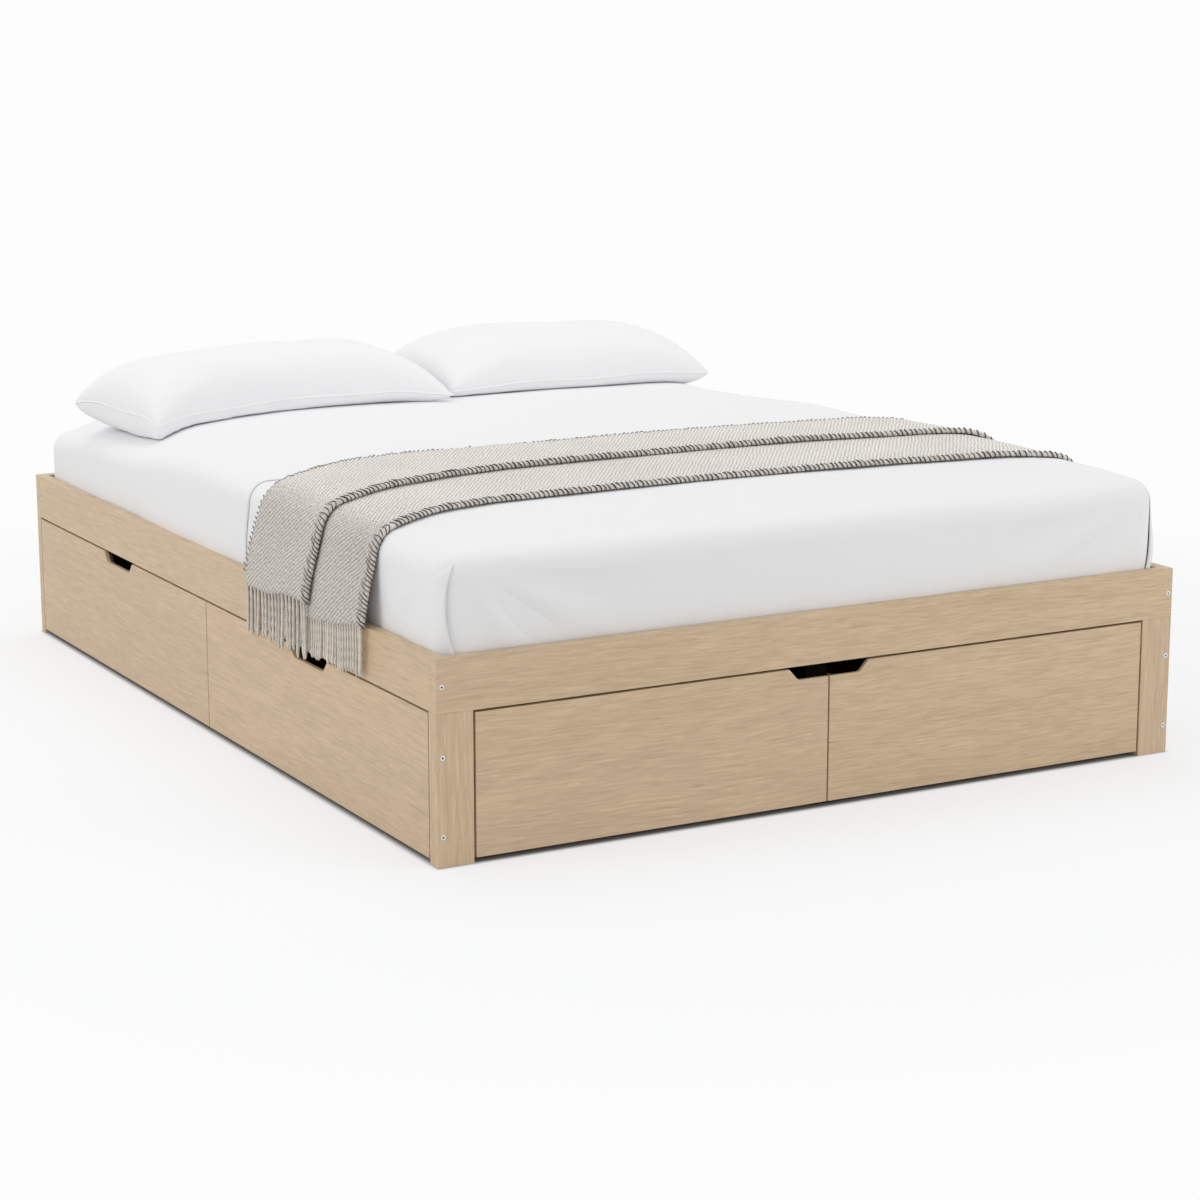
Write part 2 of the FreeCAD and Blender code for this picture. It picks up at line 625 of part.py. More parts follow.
def flat_faced(loops):
    """A solid between level loops of points, each of its faces flat."""
    faces = [Part.Face(Part.makePolygon(ring + ring[:1])) for ring in (loops[0], loops[-1])]
    for lower, upper in zip(loops, loops[1:]):
        for i, start in enumerate(lower):
            after = (i + 1) % len(lower)
            faces.append(Part.Face(Part.makePolygon([start, lower[after], upper[after], upper[i], start])))
    shell = Part.makeShell(faces)
    shell.sewShape()
    return Part.makeSolid(shell)


def pillow_form(x, y, base):
    """A pillow through scaled copies of its seam: crowned above, and drawn in below to where it rests."""
    seam = pillow_outline()
    middles = [(vec(x, y, base + height * sizes.pillow_thick), share) for height, share in PILLOW_SHARES]
    return flat_faced([[middle + point * share for point in seam] for middle, share in middles])


def soft_part(name, shape):
    """A soft piece kept under its own name."""
    feature = doc.addObject("Part::Feature", name)
    feature.Shape = shape
    keep(name, feature)


def box_between(low, high):
    """A box from its lowest corner to its highest."""
    return Part.makeBox(high[0] - low[0], high[1] - low[1], high[2] - low[2], vec(*low))


def bedding():
    """Mattress in its fitted sheet, tucked-in top sheet, and two pillows."""
    soft_part("mattress", mattress_form(0))
    far = places.bed_length
    tuck = sizes.bed_height - sizes.sheet_tuck
    skin = mattress_form(places.sheet_out).cut(mattress_form(sizes.soft_ease))
    skin = skin.cut(box_between((-far, -far, 0), (far, far, tuck)))
    skin = skin.cut(box_between((-far, places.sheet_head_edge, 0), (far, far, far)))
    soft_part("top_sheet", skin)
    base = places.mattress_base + sizes.mattress_thick + sizes.soft_ease
    for side, sign in (("left", -1), ("right", 1)):
        x = sign * (places.pillow_width + sizes.pillow_gap) / 2
        soft_part("pillow_" + side, pillow_form(x, places.pillow_centre, base))


def over_mattress(grow, drop):
    """Points of a cloth's face from the middle of the mattress, over its edge and the rail, down to drop."""
    base = places.mattress_base
    half = sizes.mattress_width / 2
    points = [(0, base + sizes.mattress_thick + grow)]
    for height, inset in reversed(mattress_levels()):
        if height > sizes.mattress_thick / 2:
            points.append((half - inset + grow, base + height + grow))
    outside = places.right_face + sizes.throw_stand + grow - places.throw_in
    points.append((outside, sizes.bed_height + sizes.throw_stand))
    points.append((outside, drop))
    return points


def edge_line(level, bow):
    """Points of one of the throw's long edges in plan, bowed towards the foot at both sides of the bed."""
    return [vec(x * places.right_face, level - share * bow, 0) for x, share in THROW_BOW_SHARES]


def throw_layer(inner, outer, left_drop, right_drop, front, rear):
    """One layer of the throw between two grown faces and two edges in plan."""
    right_in = over_mattress(inner, right_drop)
    right_out = over_mattress(outer, right_drop)
    left_in = [(-x, z) for x, z in over_mattress(inner, left_drop)[1:]]
    left_out = [(-x, z) for x, z in over_mattress(outer, left_drop)[1:]]
    ring = list(reversed(left_in)) + right_in + list(reversed(right_out)) + left_out
    far = places.bed_length
    spots = [vec(x, -far / 2, z) for x, z in ring]
    slab = Part.Face(Part.makePolygon(spots + spots[:1])).extrude(vec(0, far, 0))
    plan = front + list(reversed(rear))
    prism = Part.Face(Part.makePolygon(plan + plan[:1])).extrude(vec(0, 0, far))
    return slab.common(prism)


def throw():
    """The throw across the bed, its rear part folded over on top, and the fringe of its left end."""
    tip = sizes.fringe_tip_level
    woven_end = tip + sizes.fringe_length
    inner = places.throw_in
    middle = inner + sizes.throw_thick
    outer = middle + sizes.throw_thick
    front = edge_line(places.throw_front, sizes.throw_front_bow)
    upper_edge = edge_line(places.throw_upper, sizes.throw_upper_bow)
    rear = edge_line(places.throw_rear, sizes.throw_rear_bow)
    under = throw_layer(inner, middle, woven_end, tip, front, rear)
    upper = throw_layer(middle, outer, woven_end, tip, upper_edge, rear)
    soft_part("throw", under.fuse(upper).removeSplitter())
    yarns = throw_layer(inner, middle, tip, tip, front, upper_edge)
    yarns = yarns.fuse(throw_layer(inner, outer, tip, tip, upper_edge, rear)).removeSplitter()
    far = places.bed_length
    band = box_between((-far, -far, tip), (0, far, woven_end))
    soft_part("throw_fringe", yarns.common(band))


def check_and_write():
    """Stops on a failed object, then writes one file for each sub-part."""
    doc.recompute()
    for thing in doc.Objects:
        if "Invalid" in thing.State or "Error" in thing.State:
            raise RuntimeError("%s failed: %s" % (thing.Name, thing.State))
    os.makedirs("parts", exist_ok=True)
    for name, thing in NODES.items():
        shape = thing.Shape
        if shape.isNull() or not shape.isValid() or not shape.Solids:
            raise RuntimeError("%s has no valid solid" % name)
        shape.exportStep("parts/%s.step" % name)
        print("%s: %d solid(s), %.1f cm3" % (name, len(shape.Solids), shape.Volume / 1000))
    print("%d sub-parts" % len(NODES))


end_boards()
long_sides()
posts()
slat_bed()
buffers()
corner_screws()
drawers()
bedding()
throw()
check_and_write()
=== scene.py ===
"""Platform storage bed: its frame in pale oak decor, its drawers on castors, and its bedding.

Lengths are metres, the foot end faces -Y, the side with drawers faces -X, and the floor is z = 0.
"""
import sys

import logging
import math
from collections.abc import Callable, Iterable, Sequence
from dataclasses import dataclass, field
from enum import Enum
from typing import Any

import bpy
import numpy as np
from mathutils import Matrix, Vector, noise
from mathutils.bvhtree import BVHTree


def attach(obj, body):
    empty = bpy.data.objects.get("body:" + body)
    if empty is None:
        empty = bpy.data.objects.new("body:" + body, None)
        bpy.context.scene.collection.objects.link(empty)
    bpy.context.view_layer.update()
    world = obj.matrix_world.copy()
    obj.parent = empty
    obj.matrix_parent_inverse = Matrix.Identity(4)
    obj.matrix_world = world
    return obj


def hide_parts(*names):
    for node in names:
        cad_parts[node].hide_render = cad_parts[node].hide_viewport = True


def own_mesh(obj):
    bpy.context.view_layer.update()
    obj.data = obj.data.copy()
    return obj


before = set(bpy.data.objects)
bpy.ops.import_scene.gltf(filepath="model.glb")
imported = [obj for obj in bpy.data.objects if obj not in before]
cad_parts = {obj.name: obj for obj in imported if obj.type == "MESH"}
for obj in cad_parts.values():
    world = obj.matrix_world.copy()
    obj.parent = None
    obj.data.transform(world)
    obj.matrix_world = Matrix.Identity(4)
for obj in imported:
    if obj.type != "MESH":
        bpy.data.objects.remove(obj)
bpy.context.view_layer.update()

log = logging.getLogger("bed")
Colour = tuple[float, float, float]
Point = tuple[float, float, float]
Face = tuple[int, ...]
CLOTH_MAP = "cloth"
FULL_TURN = 2 * math.pi


class Grain(Enum):
    """The axis that a board's grain follows."""

    ALONG_X = "X"
    ALONG_Y = "Y"
    UPRIGHT = "Z"


# Node helpers


def add_node(tree: bpy.types.NodeTree, kind: str, settings: dict[str, Any] | None = None,
             inputs: dict[Any, Any] | None = None) -> bpy.types.Node:
    """Adds a node to a tree.

    Args:
        tree: a material's, a world's or a modifier's tree.
        kind: the node's type.
        settings: its properties, set first.
        inputs: values or links for its sockets, by name or number.

    Returns:
        The node.
    """
    node = tree.nodes.new(kind)
    for key, choice in (settings or {}).items():
        setattr(node, key, choice)
    for key, entry in (inputs or {}).items():
        socket = node.inputs[key]
        source = entry.socket if isinstance(entry, Signal) else entry
        if isinstance(source, bpy.types.NodeSocket):
            tree.links.new(source, socket)
        elif socket.type == "RGBA" and len(source) == 3:
            socket.default_value = (*source, 1.0)
        else:
            socket.default_value = source
    return node


def math_method(operation: str, reflected: bool = False) -> Callable[["Signal", Any], "Signal"]:
    """A method of Signal that adds one Math node.

    Args:
        operation: what the node does.
        reflected: puts the other number first.

    Returns:
        The method.
    """
    def method(self: "Signal", other: Any) -> "Signal":
        """Adds the node for this signal and another number."""
        return self.math(operation, *((other, self) if reflected else (self, other)))

    return method


class Signal:
    """A number that varies over a surface; arithmetic on it adds Math nodes."""

    def __init__(self, shop: "Shop", socket: bpy.types.NodeSocket) -> None:
        """Wraps one output socket of a shop's tree."""
        self.shop = shop
        self.socket = socket

    def math(self, operation: str, *values: Any) -> "Signal":
        """Adds one Math node and returns its output."""
        node = self.shop.add("ShaderNodeMath", {"operation": operation}, dict(enumerate(values)))
        return Signal(self.shop, node.outputs[0])

    __add__ = __radd__ = math_method("ADD")
    __sub__, __rsub__ = math_method("SUBTRACT"), math_method("SUBTRACT", reflected=True)
    __mul__ = __rmul__ = math_method("MULTIPLY")
    __truediv__, __rtruediv__ = math_method("DIVIDE"), math_method("DIVIDE", reflected=True)
    __pow__, __rpow__ = math_method("POWER"), math_method("POWER", reflected=True)
    top = math_method("MAXIMUM")

    def sine(self) -> "Signal":
        """Sine of the number in radians."""
        return self.math("SINE", self)

    def wave(self) -> "Signal":
        """Sine of the number in radians, brought between 0 and 1."""
        return self.sine() * 0.5 + 0.5

    def size(self) -> "Signal":
        """The number without its sign."""
        return self.math("ABSOLUTE", self)

    def over(self, low: float, high: float) -> "Signal":
        """A smooth step from 0 at low to 1 at high."""
        settings = {"interpolation_type": "SMOOTHSTEP"}
        node = self.shop.add("ShaderNodeMapRange", settings, {0: self, 1: low, 2: high, 3: 0.0, 4: 1.0})
        return Signal(self.shop, node.outputs[0])


class Shop:
    """Adds nodes to the tree of one material or world."""

    def __init__(self, owner: bpy.types.Material | bpy.types.World) -> None:
        """Empties the owner's tree."""
        owner.use_nodes = True
        self.owner = owner
        self.tree = owner.node_tree
        self.tree.nodes.clear()

    def add(self, kind: str, settings: dict[str, Any] | None = None,
            inputs: dict[Any, Any] | None = None) -> bpy.types.Node:
        """Adds a node with its properties, and with values or links for its sockets."""
        return add_node(self.tree, kind, settings, inputs)

    def parts(self, spot: bpy.types.NodeSocket) -> list[Signal]:
        """A vector's three numbers."""
        return [Signal(self, out) for out in self.add("ShaderNodeSeparateXYZ", inputs={0: spot}).outputs]

    def place(self) -> list[Signal]:
        """The object's own x, y and z in metres."""
        return self.parts(self.add("ShaderNodeTexCoord").outputs["Object"])

    def cloth_place(self) -> list[Signal]:
        """The cloth's own run and width in metres, from its map."""
        return self.parts(self.add("ShaderNodeUVMap", {"uv_map": CLOTH_MAP}).outputs[0])[:2]

    def joined(self, x: Any, y: Any, z: Any) -> bpy.types.NodeSocket:
        """A vector from three numbers."""
        return self.add("ShaderNodeCombineXYZ", inputs={0: x, 1: y, 2: z}).outputs[0]

    def cloud(self, x: Any, y: Any, z: Any, scale: float = 1.0, detail: float = 2.0,
              rough: float = 0.5) -> Signal:
        """Noise around 0.5 at a place.

        Args:
            x: first coordinate.
            y: second coordinate.
            z: third coordinate.
            scale: patches in a metre.
            detail: how many finer layers it has.
            rough: how strong they are.

        Returns:
            The noise.
        """
        inputs = {"Vector": self.joined(x, y, z), "Scale": scale, "Detail": detail, "Roughness": rough}
        return Signal(self, self.add("ShaderNodeTexNoise", inputs=inputs).outputs[0])

    def mixed(self, share: Any, first: Any, second: Any, how: str = "MIX") -> bpy.types.NodeSocket:
        """Two colours mixed by a share."""
        settings = {"data_type": "RGBA", "blend_type": how, "clamp_factor": True}
        return self.add("ShaderNodeMix", settings, {0: share, 6: first, 7: second}).outputs[2]

    def blended(self, share: Any, first: bpy.types.Node, second: bpy.types.Node) -> bpy.types.Node:
        """Two shaders mixed by a share."""
        return self.add("ShaderNodeMixShader", inputs={0: share, 1: first.outputs[0], 2: second.outputs[0]})

    def bumped(self, height: Signal, depth: float, strength: float = 1.0) -> bpy.types.NodeSocket:
        """A normal from a height of 0 to 1 over a depth in metres."""
        inputs = {"Height": height, "Distance": depth, "Strength": strength}
        return self.add("ShaderNodeBump", inputs=inputs).outputs[0]


# Finishes


def shaded(tone: Colour, *shares: float) -> Colour:
    """A colour with each of its parts times a share."""
    return tuple(part * share for part, share in zip(tone, shares))


@dataclass(frozen=True)
class Finish:
    """What a surface is made of; each kind says how it varies."""

    name: str

    def surface(self, shop: Shop, x: Signal, y: Signal, z: Signal) -> dict[str, Any]:
        """The Principled shader's inputs, from the object's own x, y and z."""
        raise NotImplementedError

    def material(self) -> bpy.types.Material:
        """The node material."""
        shop = Shop(bpy.data.materials.new(self.name))
        principled = shop.add("ShaderNodeBsdfPrincipled", inputs=self.surface(shop, *shop.place()))
        shop.add("ShaderNodeOutputMaterial", inputs={0: principled.outputs[0]})
        return shop.owner


@dataclass(frozen=True)
class OakDecor(Finish):
    """Pale oak decor on board: long fibres, nested arches, slow drifts of tone and short pores."""

    grain: Grain
    seed: float = 0.0
    tone: Colour = (0.604, 0.455, 0.297)
    contrast: float = 1.0
    roughness: float = 0.46

    def surface(self, shop: Shop, x: Signal, y: Signal, z: Signal) -> dict[str, Any]:
        """Fibres, rings and pores stretched along the grain."""
        along, side, deep = {Grain.ALONG_X: (x, z, y), Grain.ALONG_Y: (y, z, x),
                             Grain.UPRIGHT: (z, x, y)}[self.grain]
        along, side, deep = along + self.seed * 3.7, side + self.seed * 1.9, deep + self.seed
        drift = shop.cloud(along * 1.8, side * 5.0, deep * 5.0, detail=1.0) - 0.5
        across = side + drift * 0.036
        arch = shop.cloud(along * 1.15, across * 8.0, deep * 4.0, detail=1.2, rough=0.4)
        rings = (arch * 90.0).sine()
        fibres = shop.cloud(along * 24.0, across * 330.0, deep * 60.0, detail=1.0, rough=0.6) - 0.5
        streaks = shop.cloud(along * 10.0, across * 150.0, deep * 30.0, detail=2.0, rough=0.6) - 0.5
        bands = shop.cloud(along * 2.6, across * 26.0, deep * 10.0, detail=1.0) - 0.5
        flecks = shop.cloud(along * 12.0, across * 190.0, deep * 40.0, detail=1.0).over(0.60, 0.72)
        pores = shop.cloud(along * 22.0, across * 520.0, deep * 90.0, detail=1.0).over(0.63, 0.74)
        light = rings * 0.026 + fibres * 0.80 + streaks * 0.52 + bands * 0.22 - flecks * 0.15 - pores * 0.14
        light = (light + drift * 0.08) * self.contrast
        warm = shop.cloud(along * 0.9, side * 3.2, deep * 2.0, detail=1.0).over(0.35, 0.65)
        plain = shop.mixed(warm, shaded(self.tone, 0.995, 0.998, 1.01), shaded(self.tone, 1.005, 1.0, 0.985))
        factor = shop.mixed(light * 0.5 + 0.5, (0.50, 0.475, 0.445), (1.50, 1.525, 1.555))
        return {"Base Color": shop.mixed(1.0, plain, factor, "MULTIPLY"),
                "Roughness": self.roughness + fibres * 0.10 + pores * 0.12, "Specular IOR Level": 0.42,
                "Normal": shop.bumped(fibres * 0.6 + rings * 0.05 - pores * 0.8 + 0.5, 0.00025, 0.5)}


@dataclass(frozen=True)
class PlanedPine(Finish):
    """Raw planed pine: growth rings in long arches, faint resin lines and a few knots."""

    grain: Grain
    tone: Colour = (0.66, 0.47, 0.25)
    shine: float = 0.5

    def surface(self, shop: Shop, x: Signal, y: Signal, z: Signal) -> dict[str, Any]:
        """Rings, fibres and knots stretched along the grain."""
        along, side, deep = {Grain.ALONG_X: (x, y, z), Grain.ALONG_Y: (y, x, z),
                             Grain.UPRIGHT: (z, x, y)}[self.grain]
        bend = shop.cloud(along * 1.5, side * 4.0, deep * 4.0, detail=1.0) - 0.5
        rings = ((side + deep * 0.6 + bend * 0.05) * 640.0).wave()
        fibres = shop.cloud(along * 8.0, side * 260.0, deep * 260.0, detail=2.0)
        cell = shop.add("ShaderNodeTexVoronoi", {"feature": "F1"},
                        {"Vector": shop.joined(along * 2.2, side * 11.0, deep * 11.0), "Scale": 1.0})
        knot = 1 - Signal(shop, cell.outputs["Distance"]).over(0.05, 0.13)
        dark = rings ** 3.0 * 0.42 + fibres * 0.20
        wood = shop.mixed(dark, shaded(self.tone, 1.12, 1.12, 1.15), shaded(self.tone, 0.78, 0.66, 0.50))
        return {"Base Color": shop.mixed(knot * 0.75, wood, (0.20, 0.10, 0.045)),
                "Roughness": 0.62 - knot * 0.15, "Specular IOR Level": self.shine,
                "Normal": shop.bumped(fibres * 0.5 + rings * 0.3, 0.0004, 0.5)}


@dataclass(frozen=True)
class LacqueredFibreboard(Finish):
    """The thin bottom boards: smooth pale lacquer over pressed fibre, faintly mottled."""

    tone: Colour = (0.74, 0.70, 0.63)

    def surface(self, shop: Shop, x: Signal, y: Signal, z: Signal) -> dict[str, Any]:
        """Fine specks over a slow haze."""
        speck = shop.cloud(x, y, z, scale=900.0, detail=3.0, rough=0.7)
        haze = shop.cloud(x, y, z, scale=9.0, detail=2.0)
        colour = shop.mixed(speck * 0.5 + haze * 0.5, shaded(self.tone, 0.90, 0.89, 0.87),
                            shaded(self.tone, 1.06, 1.06, 1.06))
        return {"Base Color": colour, "Roughness": 0.38 + speck * 0.12, "Normal": shop.bumped(speck, 0.0002, 0.3)}


@dataclass(frozen=True)
class Moulded(Finish):
    """A moulded plastic or rubber with a fine eroded grain and scuffs."""

    tone: Colour
    roughness: float
    scuff: float = 0.25

    def surface(self, shop: Shop, x: Signal, y: Signal, z: Signal) -> dict[str, Any]:
        """Grit, and paler where it is worn."""
        grit = shop.cloud(x, y, z, scale=1400.0, detail=2.0)
        wear = shop.cloud(x, y, z, scale=60.0, detail=4.0, rough=0.7).over(0.52, 0.72)
        pale = tuple(0.75 * part + 0.09 for part in self.tone)
        return {"Base Color": shop.mixed(wear * self.scuff, self.tone, pale),
                "Roughness": self.roughness + grit * 0.14 + wear * 0.08, "Normal": shop.bumped(grit, 0.0002, 0.35)}


@dataclass(frozen=True)
class PlatedSteel(Finish):
    """Plated steel with fine brush lines and a slow drift of tint."""

    tone: Colour = (0.66, 0.66, 0.67)
    roughness: float = 0.30

    def surface(self, shop: Shop, x: Signal, y: Signal, z: Signal) -> dict[str, Any]:
        """Brush lines along the height."""
        brushed = shop.cloud(x * 60.0, y * 60.0, z * 2600.0, detail=2.0)
        tint = shop.cloud(x, y, z, scale=70.0, detail=2.0)
        colour = shop.mixed(tint, shaded(self.tone, 0.93, 0.94, 0.99), shaded(self.tone, 1.05, 1.04, 0.98))
        return {"Base Color": colour, "Metallic": 1.0, "Roughness": self.roughness + brushed * 0.16,
                "Normal": shop.bumped(brushed, 0.0001, 0.3)}


@dataclass(frozen=True)
class PlainCotton(Finish):
    """Smooth bed linen: a fine plain weave, a slight drift of tone and a soft sheen."""

    tone: Colour = (0.860, 0.862, 0.870)
    thread: float = 0.0007
    crease: float = 0.0006

    def surface(self, shop: Shop, x: Signal, y: Signal, z: Signal) -> dict[str, Any]:
        """Warp and weft with slubs."""
        turn = FULL_TURN / self.thread
        weave = ((x + z) * turn).sine() * ((y - z) * turn).sine() * 0.5 + 0.5
        slub = shop.cloud(x * 30.0, y * 30.0, z * 30.0, detail=3.0, rough=0.6)
        soft = shop.cloud(x, y, z, scale=7.0, detail=2.0)
        colour = shop.mixed(slub * 0.5 + soft * 0.5, shaded(self.tone, 0.985, 0.985, 0.99), self.tone)
        return {"Base Color": colour, "Roughness": 0.86 + slub * 0.08, "Specular IOR Level": 0.25,
                "Sheen Weight": 0.12, "Sheen Roughness": 0.5,
                "Normal": shop.bumped(weave * 0.25 + slub * 0.75, self.crease, 0.5)}


@dataclass(frozen=True)
class TwillWool(Finish):
    """A thick beige-grey twill: slanting ridges of twisted yarn, with painted shade in the gaps between them and
    painted light on the bed's top.
    """

    tone: Colour = (0.665, 0.635, 0.590)
    ridge: float = 0.0076
    yarn: float = 0.0043

    def surface(self, shop: Shop, x: Signal, y: Signal, z: Signal) -> dict[str, Any]:
        """Ridges that slant one way on the bed and the other way on the hanging ends, by the cloth's own map."""
        run, width = shop.cloth_place()
        waver = shop.cloud(run * 22.0, width * 22.0, 0.0, detail=3.0) - 0.5
        tails = run.size().over(0.70, 0.76)
        down = ((run * 0.81 + width * 0.58) / self.ridge + waver * 1.1) * FULL_TURN
        flat = ((run * 0.81 - width * 0.586) / (self.ridge * 0.92) + waver * 1.1) * FULL_TURN
        cords = (down.sine() * tails + flat.sine() * (1 - tails)) * 0.5 + 0.5
        broken = shop.cloud(run * 210.0, width * 190.0, 0.0, detail=2.0, rough=0.6).over(0.30, 0.70)
        twist = (((run - width * 0.35) / self.yarn + cords * 0.35 + waver * 0.8) * FULL_TURN).wave()
        fuzz = shop.cloud(x, y, z, scale=620.0, detail=3.0, rough=0.7)
        heather = shop.cloud(run * 190.0, width * 90.0, 0.0, detail=2.0) - 0.5
        drift = shop.cloud(run * 5.0, width * 5.0, 0.0, detail=2.0) - 0.5
        height = cords * 0.33 + broken * 0.33 + twist * 0.13 + fuzz * 0.21
        # The colour follows the ridges' height: painted shade in the gaps between ridges and painted light on their
        # crests, mixed with the yarn's own heather and drift of tone.
        lit = height + heather * 0.45 + drift * 0.20
        # The pale tone is far higher on the bed's top than on the hanging ends: painted light on the top and painted
        # shade on the ends.
        dark = shop.mixed(tails, shaded(self.tone, 0.50, 0.48, 0.465), shaded(self.tone, 0.46, 0.44, 0.42))
        pale = shop.mixed(tails, shaded(self.tone, 1.36, 1.36, 1.36), shaded(self.tone, 1.05, 1.04, 1.03))
        return {"Base Color": shop.mixed(lit.over(0.10, 0.85), dark, pale), "Roughness": 0.93,
                "Specular IOR Level": 0.15, "Sheen Weight": 0.65, "Sheen Roughness": 0.35,
                "Sheen Tint": (1.0, 0.985, 0.96, 1.0), "Normal": shop.bumped(height, 0.0011, 0.7)}


@dataclass(frozen=True)
class TwistedYarn(Finish):
    """Loose twisted yarn: strands that wind round it, with fuzz."""

    tone: Colour = (0.760, 0.710, 0.635)
    strand: float = 0.0028

    def surface(self, shop: Shop, x: Signal, y: Signal, z: Signal) -> dict[str, Any]:
        """Strands, tufts and fuzz."""
        fuzz = shop.cloud(x, y, z, scale=900.0, detail=3.0, rough=0.7)
        strands = (((x + y) * 0.8 + z) * (FULL_TURN / self.strand)).wave()
        tuft = shop.cloud(x * 60.0, y * 60.0, z * 7.0, detail=2.0)
        height = strands * 0.5 + fuzz * 0.5
        # The colour is darker where strands and fuzz are low: painted shade between the strands, mixed with the
        # tufts' own random tone.
        colour = shop.mixed((height * 0.6 + tuft * 0.4).over(0.15, 0.85), shaded(self.tone, 0.56, 0.545, 0.53),
                            shaded(self.tone, 1.24, 1.24, 1.25))
        return {"Base Color": colour, "Roughness": 0.92, "Specular IOR Level": 0.15, "Sheen Weight": 0.30,
                "Sheen Roughness": 0.5, "Normal": shop.bumped(height, 0.0007, 0.7)}


INNER_TONE: Colour = (0.640, 0.500, 0.345)
# Near black: painted shade for the dark space behind the foot notch, given to the centre beam and the foot's centre
# post.
PAINTED_SHADE_BLACK: Colour = (0.006, 0.0056, 0.005)
BOTTOM_LACQUER = LacqueredFibreboard("bottom_board_lacquer")
CASTOR_NYLON = Moulded("castor_nylon", (0.035, 0.035, 0.037), 0.42)
ZINC = PlatedSteel("zinc_plate")
NICKEL = PlatedSteel("nickel_plate", (0.74, 0.74, 0.745), 0.42)
BUFFER_RUBBER = Moulded("buffer_rubber", (0.33, 0.33, 0.335), 0.70, 0.1)
MADE: dict[str, bpy.types.Material] = {}


def painted(finish: Finish) -> bpy.types.Material:
    """A finish's material, made at its first use."""
    if finish.name not in MADE:
        MADE[finish.name] = finish.material()
    return MADE[finish.name]


def dress(node: str, finish: Finish) -> None:
    """Gives a frame node its finish."""
    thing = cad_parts[node]
    thing.data.materials.clear()
    thing.data.materials.append(painted(finish))


def declare(piece: bpy.types.Object, slot: str, *nodes: str) -> None:
    """Lets a piece ride on the frame.

    Args:
        piece: the finished piece.
        slot: what it is made of; not used.
        nodes: the frame nodes that it stands for, if any.
    """
    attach(piece, "root")
    if nodes:
        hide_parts(*nodes)


# Mesh helpers


def plain_mesh(name: str, points: Iterable[Sequence[float]], faces: Iterable[Face], smooth: bool) -> bpy.types.Mesh:
    """A mesh from plain lists.

    Args:
        name: the mesh's name.
        points: its vertices in metres.
        faces: its faces, facing outwards.
        smooth: whether its faces are shaded as one surface.

    Returns:
        The mesh.
    """
    mesh = bpy.data.meshes.new(name)
    mesh.from_pydata([tuple(float(part) for part in point) for point in points], [], list(faces))
    mesh.update()
    if smooth:
        mesh.shade_smooth()
    return mesh


def linked(name: str, data: Any) -> bpy.types.Object:
    """An object of that data in the scene."""
    thing = bpy.data.objects.new(name, data)
    bpy.context.scene.collection.objects.link(thing)
    return thing


def mesh_piece(name: str, points: Iterable[Sequence[float]], faces: Iterable[Face],
               material: bpy.types.Material) -> bpy.types.Object:
    """A smooth mesh object at the origin.

    Args:
        name: the piece's name.
        points: its vertices in metres.
        faces: its faces, facing outwards.
        material: its finish.

    Returns:
        The object, linked to the scene.
    """
    mesh = plain_mesh(name, points, faces, smooth=True)
    mesh.materials.append(material)
    return linked(name, mesh)


def grid_faces(rows: int, columns: int) -> list[Face]:
    """The faces of a grid whose points were made row by row."""
    starts = [row * columns + column for row in range(rows - 1) for column in range(columns - 1)]
    return [(a, a + 1, a + columns + 1, a + columns) for a in starts]


def ring(sides: int, radius: float = 1.0) -> list[tuple[float, float]]:
    """The corners of an even polygon round the origin."""
    turns = [FULL_TURN * k / sides for k in range(sides)]
    return [(radius * math.cos(turn), radius * math.sin(turn)) for turn in turns]


def settled(thing: bpy.types.Object) -> bpy.types.Object:
    """Replaces an object's mesh by its evaluated one and drops its modifiers."""
    graph = bpy.context.evaluated_depsgraph_get()
    mesh = bpy.data.meshes.new_from_object(thing.evaluated_get(graph), depsgraph=graph)
    materials = list(thing.data.materials)
    thing.modifiers.clear()
    thing.data = mesh
    if not len(mesh.materials):
        for material in materials:
            mesh.materials.append(material)
    return thing


def thicken(cloth: bpy.types.Object, thick: float) -> None:
    """Gives a cloth its thickness, half to each side."""
    solid = cloth.modifiers.new("thickness", "SOLIDIFY")
    solid.thickness = thick
    solid.offset = 0.0
    settled(cloth)


def stepped(low: float, high: float, rim: float, fine: float, coarse: float) -> list[float]:
    """Stations from low to high, close together near both ends."""
    def run(start: float, end: float, step: float) -> list[float]:
        """Even stations from start up to, but without, end."""
        count = max(1, round((end - start) / step))
        return [start + (end - start) * i / count for i in range(count)]

    return run(low, low + rim, fine) + run(low + rim, high - rim, coarse) + run(high - rim, high, fine) + [high]


def smooth_step(low: float, high: float, value: float) -> float:
    """0 below low, 1 above high and smooth between."""
    share = min(1.0, max(0.0, (value - low) / (high - low)))
    return share * share * (3 - 2 * share)


def ridge(point: Vector, start: Point, end: Point, width: float, height: float, fade: float = 0.35) -> float:
    """A soft fold's height at a point.

    Args:
        point: where it is asked.
        start: where the fold starts.
        end: where it ends.
        width: its half width.
        height: its height at the crest, or depth if negative.
        fade: share of its length over which both ends fade.

    Returns:
        The height there.
    """
    first, last = Vector(start), Vector(end)
    line = last - first
    share = (point - first).dot(line) / line.length_squared
    if share < -0.1 or share > 1.1:
        return 0.0
    away = (point - (first + line * min(1.0, max(0.0, share)))).length / width
    if away > 3:
        return 0.0
    ends = smooth_step(-0.1, fade, share) * (1 - smooth_step(1 - fade, 1.1, share))
    return height * math.exp(-away * away) * ends


# Mattress and sheets


